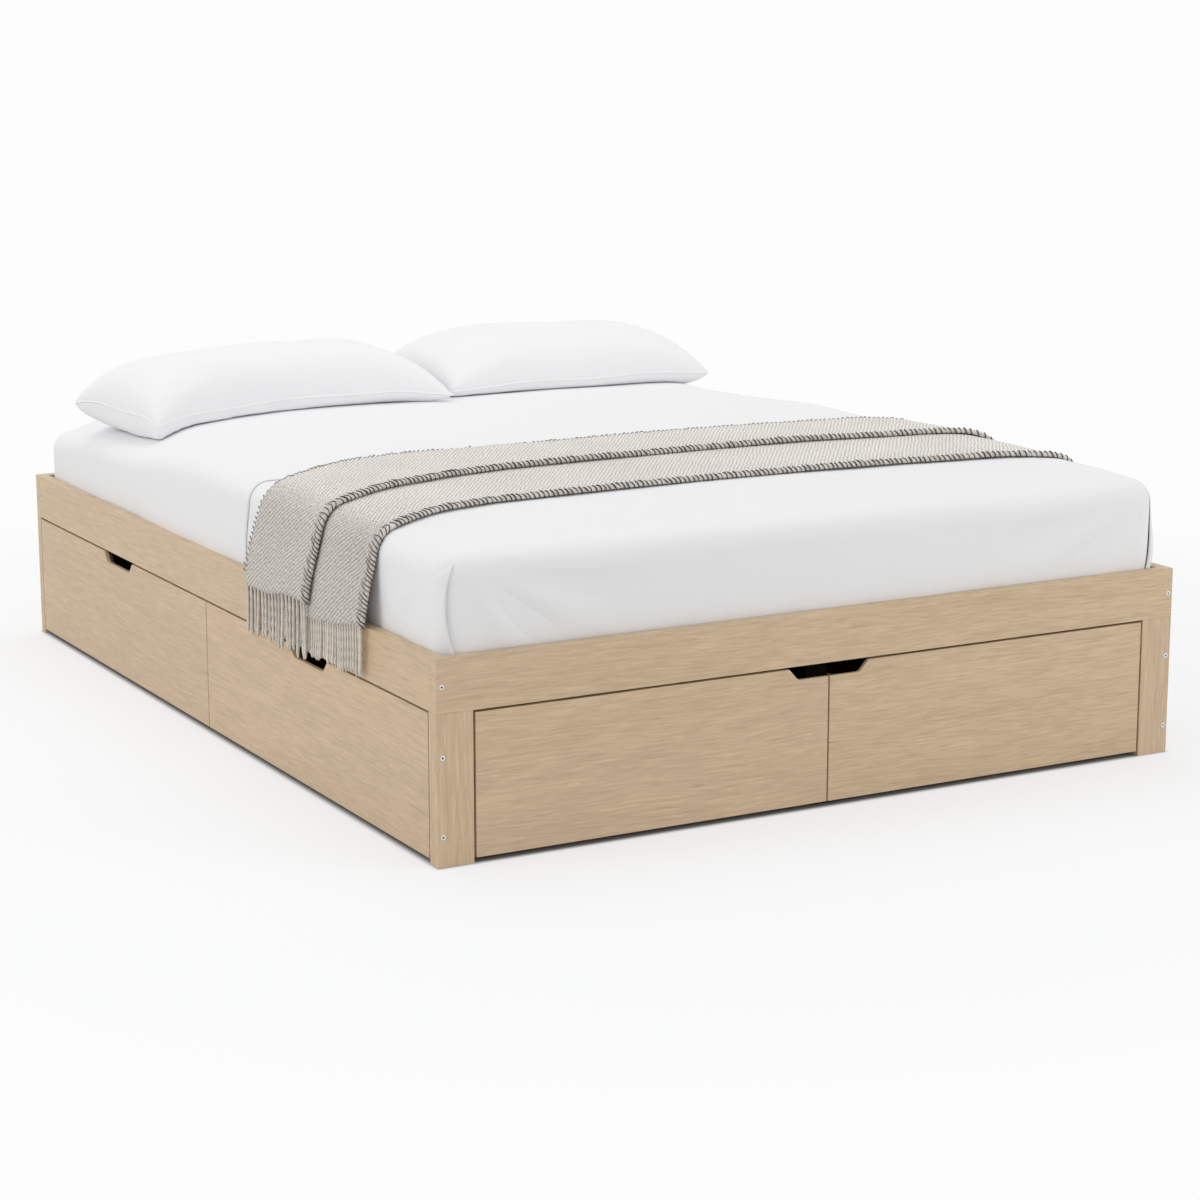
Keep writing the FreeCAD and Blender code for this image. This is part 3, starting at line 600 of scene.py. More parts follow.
@dataclass
class MattressForm:
    """The mattress's rounded, slightly crowned form, which the sheets follow at a clearance."""

    half_x: float = 0.750
    half_y: float = 1.000
    low: float = 0.3103
    high: float = 0.5243
    crown: float = 0.008
    crown_start: float = 0.712
    crown_end: float = 0.560
    crown_end_y: float = 0.810
    swell: float = 0.007
    rounding: float = 0.042
    corner_rounding: float = 0.037
    side_sag: float = 0.024
    corner_sag: float = 0.042
    foot_lift: float = 0.007
    pillow_dip: float = 0.013

    def crown_at(self, x: float, y: float) -> float:
        """How far the top stands above its rounded edge there, with a swell before the pillows."""
        run = self.crown_start - self.crown_end
        across = min(1.0, max(0.0, (self.crown_start - abs(x)) / run))
        along = min(1.0, max(0.0, (self.crown_end_y + run - abs(y)) / run))
        swell = self.swell * math.exp(-((x - 0.10) / 0.42) ** 2 - ((y - 0.47) / 0.13) ** 2)
        return self.crown * (1 - (1 - across) ** 2) * (1 - (1 - along) ** 2) + swell

    def rounding_at(self, x: float, y: float) -> float:
        """The edge's radius, a little tighter at the corners."""
        away = (self.half_x - abs(x)) ** 2 + (self.half_y - abs(y)) ** 2
        return self.rounding - (self.rounding - self.corner_rounding) * math.exp(-away / 0.012)

    def sag_at(self, x: float, y: float) -> float:
        """How far the edge gives way beside the pillows and at the head corners; the foot's right edge stands up."""
        side = smooth_step(0.58, 0.74, abs(x)) * smooth_step(0.10, 0.52, y) * self.side_sag
        away = (self.half_x - abs(x)) ** 2 + (self.half_y - y) ** 2
        corner = (self.half_x - x) ** 2 + (self.half_y + y) ** 2
        lift = smooth_step(0.50, 0.72, x) * (1 - smooth_step(-0.45, -0.10, y)) * (1 - math.exp(-corner / 0.008))
        pressed = self.pillow_dip * math.exp(-((abs(x) - 0.68) / 0.20) ** 2 - ((y - 0.56) / 0.22) ** 2) * (x < 0)
        return side + pressed + self.corner_sag * math.exp(-away / 0.042) - self.foot_lift * lift

    def top_at(self, x: float, y: float) -> float:
        """The top's level there, with its rounded rim."""
        rounding = self.rounding_at(x, y)
        rim = [max(0.0, rounding - (half - abs(part))) for half, part in ((self.half_x, x), (self.half_y, y))]
        out = min(rounding, math.hypot(*rim))
        drop = rounding - math.sqrt(rounding ** 2 - out ** 2)
        return self.high + self.crown_at(x, y) - drop - self.sag_at(x, y)

    def skin(self, grow: float, fine: float, coarse: float, keep: Callable[[Vector], bool],
             relief: Callable[[Vector, Vector], float]) -> tuple[list[Vector], list[Face]]:
        """The form's surface as a grid.

        Args:
            grow: clearance outwards.
            fine: spacing near the edges.
            coarse: spacing elsewhere.
            keep: tells whether a face with that middle stays.
            relief: extra height for a point and its outward direction.

        Returns:
            Points and faces.
        """
        rim = self.rounding * 1.25
        lows = Vector((-self.half_x, -self.half_y, self.low))
        highs = Vector((self.half_x, self.half_y, self.high))
        lines = [stepped(lows[0], highs[0], rim, fine, coarse), stepped(lows[1], highs[1], rim, fine, coarse),
                 stepped(lows[2], highs[2], rim, fine, min(coarse, 0.012))]
        index: dict[tuple[int, int, int], int] = {}
        flat: list[Vector] = []

        def corner(key: tuple[int, int, int]) -> int:
            """The number of the point at a place in the grid, added at its first use."""
            if key not in index:
                index[key] = len(flat)
                flat.append(Vector((lines[0][key[0]], lines[1][key[1]], lines[2][key[2]])))
            return index[key]

        faces: list[Face] = []
        for axis in range(3):
            first, second = (axis + 1) % 3, (axis + 2) % 3
            for end, last in ((0, False), (len(lines[axis]) - 1, True)):
                for i in range(len(lines[first]) - 1):
                    for j in range(len(lines[second]) - 1):
                        loop = []
                        for di, dj in ((0, 0), (1, 0), (1, 1), (0, 1)):
                            key = [0, 0, 0]
                            key[axis], key[first], key[second] = end, i + di, j + dj
                            loop.append(corner(tuple(key)))
                        faces.append(tuple(loop) if last else tuple(reversed(loop)))
        points = []
        for spot in flat:
            radius = self.rounding_at(spot.x, spot.y)
            inner = Vector(min(h - radius, max(l + radius, s)) for s, l, h in zip(spot, lows, highs))
            out = spot - inner
            normal = out.normalized() if out.length > 1e-9 else Vector((0, 0, 1))
            point = inner + normal * radius if out.length > 1e-9 else spot.copy()
            top = max(0.0, normal.z) ** 2 if spot.z > 0.45 else 0.0
            point.z += self.crown_at(point.x, point.y) * top
            point.z -= self.sag_at(point.x, point.y) * smooth_step(0.330, 0.515, point.z)
            point += normal * grow
            points.append(point + normal * relief(point, normal))
        kept = [face for face in faces if keep(sum((points[i] for i in face), Vector()) / len(face))]
        used = sorted({i for face in kept for i in face})
        new = {old: number for number, old in enumerate(used)}
        return [points[i] for i in used], [tuple(new[i] for i in face) for face in kept]


@dataclass
class Bedding:
    """Mattress in its fitted sheet, the tucked-in top sheet and its turned-down part."""

    form: MattressForm = field(default_factory=MattressForm)
    sheet_low: float = 0.336
    sheet_head_edge: float = 0.500
    turned_edge: float = -0.160
    foot: float = -1.000
    fine: float = 0.007
    sheet_clearance: float = 0.0012
    turned_clearance: float = 0.0034

    def mattress_relief(self, point: Vector, out: Vector) -> float:
        """Soft hollows and corner creases of the fitted sheet."""
        soft = noise.noise(point * 5.0) * 0.0016 + noise.noise(point * 13.0) * 0.0006
        side = 1 - max(0.0, out.z)
        creases = 0.0
        for x, y, reach in ((-0.75, 0.98, 0.30), (0.75, 0.98, 0.30), (-0.75, 0.62, 0.24)):
            for number in range(4):
                start = (x, y - 0.05 - 0.07 * number, 0.505)
                end = (x, y - 0.10 - 0.11 * number - reach * 0.12, 0.335)
                creases += ridge(point, start, end, 0.012, 0.0022 * (1 - 0.15 * number))
        return soft + creases * side

    def sheet_relief(self, point: Vector, out: Vector) -> float:
        """Radiating folds at the foot corners, and slow waves down the sides."""
        total = noise.noise(point * 3.2) * 0.0020 + noise.noise(point * 9.0) * 0.0007
        side = 1 - max(0.0, out.z) ** 2
        waves = noise.noise(Vector((point.x * 7.0, point.y * 7.0, point.z * 1.6))) * 0.0026
        total += waves * side * (1 - smooth_step(0.42, 0.53, point.z))
        for sign in (-1, 1):
            corner = Vector((sign * 0.715, self.foot, 0.500))
            if (point - corner).length > 0.6:
                continue
            for reach, fall, width, height in ((0.10, 0.16, 0.016, 0.0045), (0.19, 0.15, 0.020, -0.0042),
                                               (0.27, 0.12, 0.022, 0.0052), (0.33, 0.06, 0.022, -0.0034),
                                               (0.40, 0.02, 0.026, 0.0030)):
                start = (sign * 0.700, self.foot, 0.495)
                end = (sign * (0.700 - reach), self.foot, 0.495 - fall)
                total += ridge(point, start, end, width, height, 0.45)
            for reach, fall, height in ((0.06, 0.15, 0.0030), (0.13, 0.15, -0.0026), (0.20, 0.14, 0.0026)):
                start = (sign * 0.750, self.foot + 0.05, 0.495)
                end = (sign * 0.750, self.foot + 0.05 + reach, 0.495 - fall)
                total += ridge(point, start, end, 0.018, height, 0.45)
        tuck = (1 - smooth_step(0.345, 0.372, point.z)) * side
        return total - tuck * 0.0015

    def merged(self, grow: float) -> Callable[[Vector, Vector], float]:
        """A sheet's relief that sinks into the fitted sheet towards its head edge, for a layer at that clearance."""
        def relief(point: Vector, out: Vector) -> float:
            """The extra height of one point."""
            share = smooth_step(self.sheet_head_edge - 0.16, self.sheet_head_edge - 0.02, point.y)
            if share == 0:
                return self.sheet_relief(point, out)
            sunk = self.mattress_relief(point, out) - grow - 0.0016
            return self.sheet_relief(point, out) * (1 - share) + sunk * share

        return relief

    def layer(self, grow: float, keep: Callable[[Vector], bool]) -> tuple[list[Vector], list[Face]]:
        """The points and faces of a sheet at a clearance over the fitted sheet."""
        return self.form.skin(grow, self.fine, 0.013, keep, self.merged(grow))

    def build(self) -> None:
        """Makes the mattress, both sheets and the corner folds."""
        linen = painted(PlainCotton("top_sheet_cotton"))
        points, faces = self.form.skin(0.0, self.fine, 0.030, lambda middle: True, self.mattress_relief)
        mattress = mesh_piece("mattress_in_fitted_sheet", points, faces, painted(PlainCotton("fitted_sheet_cotton")))
        declare(mattress, "mattress_cover", "mattress")
        log.info("mattress: %d points", len(points))

        points, faces = self.layer(self.sheet_clearance, self.on_sheet)
        sheet = mesh_piece("tucked_top_sheet", points, faces, linen)
        thicken(sheet, 0.0011)
        declare(sheet, "sheet_cotton", "top_sheet")
        log.info("top sheet: %d points", len(points))

        points, faces = self.layer(self.turned_clearance, self.on_fold)
        for point in points:
            near = 1 - smooth_step(self.turned_edge, self.turned_edge + 0.16, point.y)
            inwards = 1 - smooth_step(0.60, 0.745, abs(point.x))
            point.y -= (0.021 * smooth_step(0.40, 0.50, point.z) + 0.080 * inwards) * near
        turned = mesh_piece("turned_down_sheet", points, faces, linen)
        thicken(turned, 0.0012)
        declare(turned, "sheet_cotton")
        log.info("turned-down sheet: %d points", len(points))
        for side in (-1, 1):
            self.corner_fold(side, linen)

    def on_sheet(self, middle: Vector) -> bool:
        """Whether a face with that middle belongs to the top sheet."""
        return middle.z > self.sheet_low and middle.y < self.sheet_head_edge

    def on_fold(self, middle: Vector) -> bool:
        """Whether a face with that middle belongs to the turned-down part."""
        return middle.z > self.sheet_low and self.turned_edge < middle.y < self.sheet_head_edge - 0.012

    def corner_fold(self, side: int, linen: bpy.types.Material) -> None:
        """The loose edge of the mitred fold at one foot corner, -1 for the left and 1 for the right."""
        form = self.form
        rows, columns, low, high = 30, 18, 0.338, 0.510
        radius = form.corner_rounding
        quarter = radius * math.pi / 4
        points = []
        for i in range(rows):
            z = low + (high - low) * i / (rows - 1)
            rise = max(0.0, z - (form.high - radius))
            reach = math.sqrt(max(0.0, radius ** 2 - rise ** 2))
            bend = 0.0190 if z > 0.44 and side < 0 else 0.0150 if side < 0 or z > 0.44 else 0.0190
            start = max(-0.026, (-0.0024 if side < 0 else 0.001) - bend * ((z - 0.44) / 0.09) ** 2)
            width = 0.070 * (1 - smooth_step(0.46, high + 0.004, z)) + 0.006
            for j in range(columns):
                share = j / (columns - 1)
                away = start + width * share
                turn = math.pi / 4 + min(away, quarter) / radius
                edge = 0.0042 * math.exp(-share * 5) * math.sin(math.pi * min(1.0, i / rows + 0.15))
                lift = 0.0026 + edge * (1.0 if side < 0 else 0.3) - 0.0034 * share
                if side > 0:
                    lift += 0.0085 * share / 0.16 * math.exp(1 - share / 0.16 - ((z - 0.400) / 0.055) ** 2)
                beyond = max(0.0, away - quarter)
                across = form.half_x - radius + (reach + lift) * math.sin(turn)
                along = form.half_y - radius + (reach + lift) * math.cos(turn) - beyond
                points.append((side * across, -along, z))
        faces = grid_faces(rows, columns)
        if side < 0:
            faces = [tuple(reversed(face)) for face in faces]
        fold = mesh_piece("corner_fold_" + ("left" if side < 0 else "right"), points, faces, linen)
        thicken(fold, 0.0013)
        declare(fold, "sheet_cotton")


# Pillows


@dataclass
class Pillow:
    """One stuffed pillow with pointed corners and a piped seam.

    Its seam runs through four corners, in order rear left, front left, front right and rear right, and each side
    draws inwards between them.
    """

    name: str
    node: str
    corners: tuple[Point, Point, Point, Point]
    crown: float
    bows: tuple[float, float, float, float]
    seam_rise: float
    under: tuple[float, float]
    fullness: tuple[float, float]
    piping: float = 0.0021
    seed: float = 0.0
    form: MattressForm = field(default_factory=MattressForm)

    @staticmethod
    def blended(corners: Iterable[Any], across: float, along: float) -> Any:
        """A value between those of the four corners, for a share across and one from front to rear."""
        rl, fl, fr, rr = corners
        front = fl * (1 - across) * (1 - along) + fr * (1 + across) * (1 - along)
        return (front + rl * (1 - across) * (1 + along) + rr * (1 + across) * (1 + along)) / 4

    def seam_level(self, u: float, v: float) -> float:
        """The seam surface's level at a share across, -1 to 1, and a share from front to rear."""
        plain = self.blended((corner[2] for corner in self.corners), u, v)
        middle = 1 - min(1.0, abs(u) ** 5 if abs(v) > abs(u) else abs(v) ** 5)
        wave = 0.0022 * math.sin(u * 7 + v * 5 + self.seed)
        return plain + (self.seam_rise + wave) * middle

    def spot(self, u: float, v: float) -> Vector:
        """The place on the seam surface for two shares."""
        corners = [Vector(corner) for corner in self.corners]
        rear_left, front_left, front_right, _ = corners
        left, front, right, rear = self.bows
        half_x, half_y = (front_right.x - front_left.x) / 2, (rear_left.y - front_left.y) / 2
        side = left if u < 0 else right
        end = front if v < 0 else rear
        a = u * (1 - side * (1 - v * v) / half_x)
        b = v * (1 - end * (1 - u * u) / half_y)
        place = self.blended(corners, a, b)
        place.z = self.seam_level(u, v)
        return place

    def seam_point(self, share: float) -> Vector:
        """A point of the seam line, once round for 0 to 1."""
        side = int(share * 4) % 4
        along = (share * 4) % 1 * 2 - 1
        u, v = ((along, -1.0), (1.0, along), (-along, 1.0), (-1.0, -along))[side]
        return self.spot(u, v)

    def rest_level(self, point: Vector) -> float:
        """The bedding's level under a point, low outside the mattress."""
        if abs(point.x) > self.form.half_x or abs(point.y) > self.form.half_y:
            return self.form.low
        return self.form.top_at(point.x, point.y) + 0.0006

    def build(self) -> None:
        """Makes the pillow and its piping."""
        body = self.stuffed(painted(PlainCotton("pillow_cotton", (0.872, 0.873, 0.880))))
        self.puff(body)
        declare(body, "pillow_cotton", self.node)
        cord = PlainCotton("piping_cotton", (0.890, 0.890, 0.895), 0.0009, 0.0003)
        declare(self.pipe(body, painted(cord)), "pillow_cotton")
        log.info("%s: %d points", self.name, len(body.data.vertices))

    def stuffed(self, cotton: bpy.types.Material) -> bpy.types.Object:
        """The pillow's form before it is puffed: a full upper face, and an under face that lies on the bed."""
        columns, rows = 96, 64
        us = [math.sin(math.pi / 2 * (2 * i / (columns - 1) - 1)) for i in range(columns)]
        vs = [math.sin(math.pi / 2 * (2 * j / (rows - 1) - 1)) for j in range(rows)]
        us[0], us[-1], vs[0], vs[-1] = -1.0, 1.0, -1.0, 1.0
        points: list[Vector] = []
        faces: list[Face] = []
        upper = [[0] * rows for _ in range(columns)]
        lower = [[0] * rows for _ in range(columns)]
        for i, u in enumerate(us):
            for j, v in enumerate(vs):
                place = self.spot(u, v)
                across, along = (max(0.0, 1 - abs(s) ** power) for s, power in zip((u, v), self.fullness))
                full = math.sqrt(across * along)
                left, right = self.under
                turn = smooth_step(-0.9, 0.5, u)
                sharp = 26 - 16 * turn if v < 0 else 2.4
                deep = left + (right - left) * turn
                deep *= (max(0.0, 1 - u ** (16 if u < 0 else 8)) * max(0.0, 1 - abs(v) ** sharp)) ** 0.4
                crease = noise.noise(Vector((place.x * 6, place.y * 6, self.seed))) * 0.003
                top = place.copy()
                top.z += (self.crown + crease) * full
                upper[i][j] = len(points)
                points.append(top)
                if abs(u) == 1 or abs(v) == 1:
                    lower[i][j] = upper[i][j]
                    continue
                bottom = place.copy()
                bottom.z = max(place.z - deep, min(place.z - 0.002, self.rest_level(place)))
                lower[i][j] = len(points)
                points.append(bottom)
        for i in range(columns - 1):
            for j in range(rows - 1):
                faces.append((upper[i][j], upper[i + 1][j], upper[i + 1][j + 1], upper[i][j + 1]))
                faces.append((lower[i][j], lower[i][j + 1], lower[i + 1][j + 1], lower[i + 1][j]))
        return mesh_piece(self.name, points, faces, cotton)

    def puff(self, body: bpy.types.Object, cap: float = 0.004) -> None:
        """Lets cloth under a little pressure settle over the form, each point by no more than cap."""
        remesh = body.modifiers.new("voxels", "REMESH")
        remesh.mode = "VOXEL"
        remesh.voxel_size = 0.006
        settled(body)
        rest = np.array([v.co for v in body.data.vertices])
        cloth = body.modifiers.new("stuffing", "CLOTH")
        for setting, amount in (("use_pressure", True), ("uniform_pressure_force", 4.0), ("tension_stiffness", 25),
                                ("compression_stiffness", 25), ("bending_stiffness", 1.2), ("quality", 4)):
            setattr(cloth.settings, setting, amount)
        cloth.settings.effector_weights.gravity = 0.0
        for number in range(1, 21):
            bpy.context.scene.frame_set(number)
        graph = bpy.context.evaluated_depsgraph_get()
        moved = np.array([v.co for v in body.evaluated_get(graph).data.vertices])
        body.modifiers.clear()
        bpy.context.scene.frame_set(1)
        shift = moved - rest
        far = np.linalg.norm(shift, axis=1, keepdims=True)
        points = rest + shift * np.minimum(1.0, cap / np.maximum(far, 1e-9))
        for point in points:
            point[2] = max(point[2], self.rest_level(Vector(point)))
        body.data.vertices.foreach_set("co", points.astype(np.float32).ravel())
        body.data.update()
        finer = body.modifiers.new("finer", "SUBSURF")
        finer.levels = finer.render_levels = 1
        settled(body)
        body.data.shade_smooth()

    def pipe(self, body: bpy.types.Object, cord: bpy.types.Material) -> bpy.types.Object:
        """A thin piping that follows the seam where the pillow now is."""
        tree = BVHTree.FromObject(body, bpy.context.evaluated_depsgraph_get())
        points = []
        around = 400
        middle = sum((Vector(corner) for corner in self.corners), Vector()) / 4
        for i in range(around):
            target = self.seam_point(i / around)
            away = (target - middle).to_2d().to_3d().normalized()
            start = target + away * 0.06
            hit, _, _, _ = tree.ray_cast(start, -away, 0.10)
            points.append((hit if hit is not None else target) + away * 0.0006)
        for _ in range(3):
            points = [(points[i - 1] + points[i] * 2 + points[(i + 1) % around]) / 4 for i in range(around)]
        sides = 8
        verts: list[Vector] = []
        faces: list[Face] = []
        for i, point in enumerate(points):
            along = (points[(i + 1) % around] - points[i - 1]).normalized()
            side = along.cross(Vector((0, 0, 1))).normalized()
            rise = side.cross(along)
            verts += [point + (side * a + rise * b) * self.piping for a, b in ring(sides)]
            here, after = i * sides, (i + 1) % around * sides
            for k in range(sides):
                n = (k + 1) % sides
                faces.append((here + k, here + n, after + n, after + k))
        return mesh_piece(self.name + "_piping", verts, faces, cord)


PILLOWS = (
    Pillow("pillow_left_stuffed", "pillow_left",
           ((-0.768, 0.778, 0.550), (-0.686, 0.494, 0.531), (0.006, 0.475, 0.5525), (-0.028, 0.920, 0.552)), 0.0960,
           (0.004, 0.058, 0.030, 0.006), 0.0160, (0.066, 0.030), (5.0, 2.5), seed=0.4),
    Pillow("pillow_right_stuffed", "pillow_right",
           ((0.017, 0.913, 0.566), (0.018, 0.535, 0.5495), (0.689, 0.527, 0.551), (0.708, 0.905, 0.545)), 0.1010,
           (0.003, 0.012, 0.023, 0.027), 0.0080, (0.024, 0.034), (3.6, 2.2), seed=2.9),
)


# Throw


@dataclass
class ThrowPath:
    """The line across the bed that the throw follows, from its left end to its right end."""

    reach: float = 0.7785
    rail_top: float = 0.363
    left_end: float = 0.334
    right_end: float = 0.250
    clearance: float = 0.0060
    form: MattressForm = field(default_factory=MattressForm)

    def __post_init__(self) -> None:
        """Works out the smoothed line, its run and its outward directions."""
        right = self.half_line(self.right_end)
        left = [(-x, z) for x, z in reversed(self.half_line(self.left_end)[1:])]
        line = np.array(left + right)
        steps = np.linalg.norm(np.diff(line, axis=0), axis=1)
        run = np.concatenate([[0], np.cumsum(steps)])
        even = np.arange(0, run[-1], 0.002)
        line = np.stack([np.interp(even, run, line[:, k]) for k in (0, 1)], axis=1)
        kernel = np.hanning(25)
        kernel /= kernel.sum()
        ends = np.arange(12, 0, -1)[:, None]
        before = line[:1] + (line[:1] - line[1:2]) * ends
        after = line[-1:] + (line[-1:] - line[-2:-1]) * ends[::-1]
        padded = np.concatenate([before, line, after])
        line = np.stack([np.convolve(padded[:, k], kernel, "valid") for k in (0, 1)], axis=1)
        start = int(np.argmin(np.abs(line[:, 0]) + (line[:, 1] < 0.5)))
        run = np.concatenate([[0], np.cumsum(np.linalg.norm(np.diff(line, axis=0), axis=1))])
        self.run = run - run[start]
        self.line = line
        ahead = np.gradient(line, axis=0)
        ahead /= np.linalg.norm(ahead, axis=1, keepdims=True)
        self.out = np.stack([-ahead[:, 1], ahead[:, 0]], axis=1)

    def half_line(self, end: float) -> list[tuple[float, float]]:
        """From the middle of the top over the right edge and down to a level."""
        grow = self.clearance
        form = self.form
        points = []
        for i in range(141):
            x = form.crown_start * i / 140
            points.append((x, form.high + form.crown_at(x, 0) + grow))
        for i in range(1, 13):
            turn = math.pi / 2 * i / 12
            middle = form.half_x - form.rounding
            points.append((middle + (form.rounding + grow) * math.sin(turn),
                           form.high - form.rounding + (form.rounding + grow) * math.cos(turn)))
        points.append((self.reach + grow - 0.003, self.rail_top))
        points.append((self.reach + grow - 0.003, end))
        return points

    def at(self, run: float, lift: float) -> tuple[float, float, float, float]:
        """Place and outward direction on the line.

        Args:
            run: distance along the line from the middle of the bed, negative to the left.
            lift: height above the line.

        Returns:
            x, z and the two parts of the outward direction.
        """
        x, z = (float(np.interp(run, self.run, self.line[:, k])) for k in (0, 1))
        a, b = (float(np.interp(run, self.run, self.out[:, k])) for k in (0, 1))
        return x + a * lift, z + b * lift, a, b


FRONT_EDGE = [(-1.04, -0.757), (-0.90, -0.757), (-0.82, -0.748), (-0.775, -0.752), (-0.745, -0.750), (-0.71, -0.738),
              (-0.65, -0.702), (-0.59, -0.675), (-0.47, -0.644), (-0.36, -0.638), (-0.25, -0.632), (-0.03, -0.629),
              (0.19, -0.637), (0.41, -0.654), (0.517, -0.673), (0.617, -0.702), (0.70, -0.732), (0.80, -0.752),
              (1.04, -0.756)]
UPPER_EDGE = [(-1.04, -0.531), (-0.92, -0.531), (-0.85, -0.528), (-0.79, -0.532), (-0.756, -0.538), (-0.70, -0.508),
              (-0.63, -0.470), (-0.56, -0.440), (-0.43, -0.397), (-0.31, -0.372), (-0.195, -0.368), (-0.03, -0.362),
              (0.153, -0.358), (0.267, -0.364), (0.383, -0.371), (0.494, -0.388), (0.60, -0.416), (0.70, -0.442),
              (0.80, -0.515), (1.04, -0.530)]
REAR_EDGE = [(-1.04, -0.234), (-0.93, -0.236), (-0.86, -0.236), (-0.82, -0.242), (-0.78, -0.252), (-0.74, -0.268),
             (-0.66, -0.222), (-0.59, -0.182), (-0.52, -0.152), (-0.40, -0.136), (-0.29, -0.140), (-0.18, -0.145),
             (0.05, -0.136), (0.27, -0.143), (0.404, -0.155), (0.51, -0.172), (0.62, -0.190), (0.72, -0.210),
             (0.82, -0.222), (1.04, -0.222)]


def edge_at(edge: list[tuple[float, float]], run: float) -> float:
    """An edge's y at a run along the throw, smoothed between its points."""
    spread = 0.025
    runs, places = zip(*edge)
    around = [run + spread * step for step in (-1, -0.5, 0, 0.5, 1)]
    return float(np.average(np.interp(around, runs, places), weights=[1, 2, 3, 2, 1]))


@dataclass
class Throw:
    """The throw: one cloth folded back over itself at its rear edge, its whipped edges and its fringe."""

    path: ThrowPath = field(default_factory=ThrowPath)
    cloth_thick: float = 0.0052
    layer_step: float = 0.0060
    stitch_step: float = 0.0100
    hem_radius: float = 0.0048
    hem_lift: float = 0.0044
    tassel_step: float = 0.0108
    tassel_usual: float = 0.090
    bend: float = -0.72

    def ends(self, share: float) -> tuple[float, float]:
        """Where the cloth starts and ends along the path, for a share from its front edge to its upper edge."""
        y, lift = self.cross(-1.0, share)
        if lift < self.layer_step / 2:
            rise = 0.027 * (1 - smooth_step(-0.76, -0.53, y))
        else:
            rise = 0.008 + 0.022 * (1 - smooth_step(-0.53, -0.25, y))
        return float(self.path.run[0]) + rise + 0.002 * math.sin(y * 40), float(self.path.run[-1])

    def spans(self, run: float) -> tuple[float, float, float, float, float]:
        """At one run the front and the rear edge, and the widths of the lower layer, the fold and the upper layer."""
        front, upper, rear = (edge_at(edge, run) for edge in (FRONT_EDGE, UPPER_EDGE, REAR_EDGE))
        return front, rear, rear - front, math.pi * self.layer_step / 2, rear - upper

    def cross(self, run: float, share: float) -> tuple[float, float]:
        """Across the cloth at one run: y, and height above the path.

        Args:
            run: distance along the path.
            share: 0 at the front edge, 1 at the upper layer's free edge.

        Returns:
            y and height.
        """
        front, rear, low, turn, high = self.spans(run)
        at = share * (low + turn + high)
        half = self.layer_step / 2
        if at < low:
            return front + at, 0.0
        if at < low + turn:
            angle = (at - low) / turn * math.pi
            return rear + half * math.sin(angle), half - half * math.cos(angle)
        return rear - (at - low - turn), self.layer_step

    def surface_point(self, run: float, share: float) -> tuple[Vector, Vector]:
        """A point of the cloth's middle face and the outward direction of the bed there."""
        y, lift = self.cross(run, share)
        x, z, a, b = self.path.at(run, 0.0)
        spot = Vector((run * 2.1, y * 3.0, lift * 30))
        wave = noise.noise(spot * 2.0) * 0.0022 + noise.noise(spot * 5.0) * 0.0008
        under, upper = 0.0, edge_at(UPPER_EDGE, run)
        near = y - upper
        if lift < self.layer_step * 0.5:
            under = smooth_step(upper - 0.05, upper - 0.005, y)
            near = y - edge_at(FRONT_EDGE, run)
        wave = max(0.0, wave + 0.0008) * (1 - under) + self.hem_lift * math.exp(-(near / 0.018) ** 2)
        hanging = smooth_step(-0.80, -0.86, run) + smooth_step(0.80, 0.86, run)
        sway = hanging * 0.0035 * (noise.noise(Vector((0.3, y * 6.5, 0.2))) + 0.5)
        out = Vector((a, 0, b))
        grow = lift + wave + sway
        grow += max(0.0, -self.path.form.sag_at(min(x, 0.74), y)) * (1 - smooth_step(0.78, 0.86, run))
        return Vector((x, y, z)) + out * grow, out

    def cloth(self) -> bpy.types.Object:
        """The woven part with its own map in metres."""
        rows, columns = 250, 92
        points, spots = [], []
        for share in (float(share) for share in np.linspace(0, 1, columns)):
            start, end = self.ends(share)
            for i in range(rows):
                run = start + (end - start) * i / (rows - 1)
                points.append(self.surface_point(run, share)[0])
                spots.append((run, self.cross(run, share)[0]))
        throw = mesh_piece("throw_cloth", points, grid_faces(columns, rows), painted(TwillWool("throw_twill")))
        layer = throw.data.uv_layers.new(name=CLOTH_MAP)
        for loop in throw.data.loops:
            layer.data[loop.index].uv = spots[loop.vertex_index]
        thicken(throw, self.cloth_thick)
        log.info("throw: %d points", len(points))
        return throw

    def build(self) -> None:
        """Makes the cloth, its whipped edges and its fringe."""
        throw = self.cloth()
        declare(throw, "throw_cotton", "throw")
        dark = painted(TwistedYarn("whipping_yarn", (0.075, 0.066, 0.055)))
        grey = painted(TwistedYarn("rear_whipping_yarn", (0.34, 0.33, 0.315)))
        pale = painted(TwistedYarn("hem_yarn", (0.74, 0.705, 0.655)))
        stitches = [self.hem("throw_front_hem", 0.0, pale), self.hem("throw_upper_hem", 1.0, pale)]
        for name, share in (("front", 0.0), ("upper", 1.0)):
            start, end = self.ends(share)
            for part, lean, reach, thick, step, runs in (
                    ("tail", -1.0, 0.021, 0.0011, 0.0075, (start, self.bend)),
                    ("top", 1.0, 0.013, 0.0014, self.stitch_step, (self.bend, end))):
                whip = Whip(self.hem_radius + 0.0006, reach, thick, lean, step)
                label = "throw_%s_%s_whipping" % (name, part)
                stitches.append(self.whipping(label, lambda run, at=share: at, whip, runs, dark))
        whip = Whip(0.0061, 0.012, 0.0011, 1.0, self.stitch_step, turned=True)
        stitches.append(self.whipping("throw_rear_whipping", self.fold_share, whip, (-0.90, 0.80), grey))
        for row in stitches:
            declare(row, "throw_cotton")
        fringe = self.fringe()
        declare(fringe, "fringe_cotton", "throw_fringe")
        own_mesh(fringe)

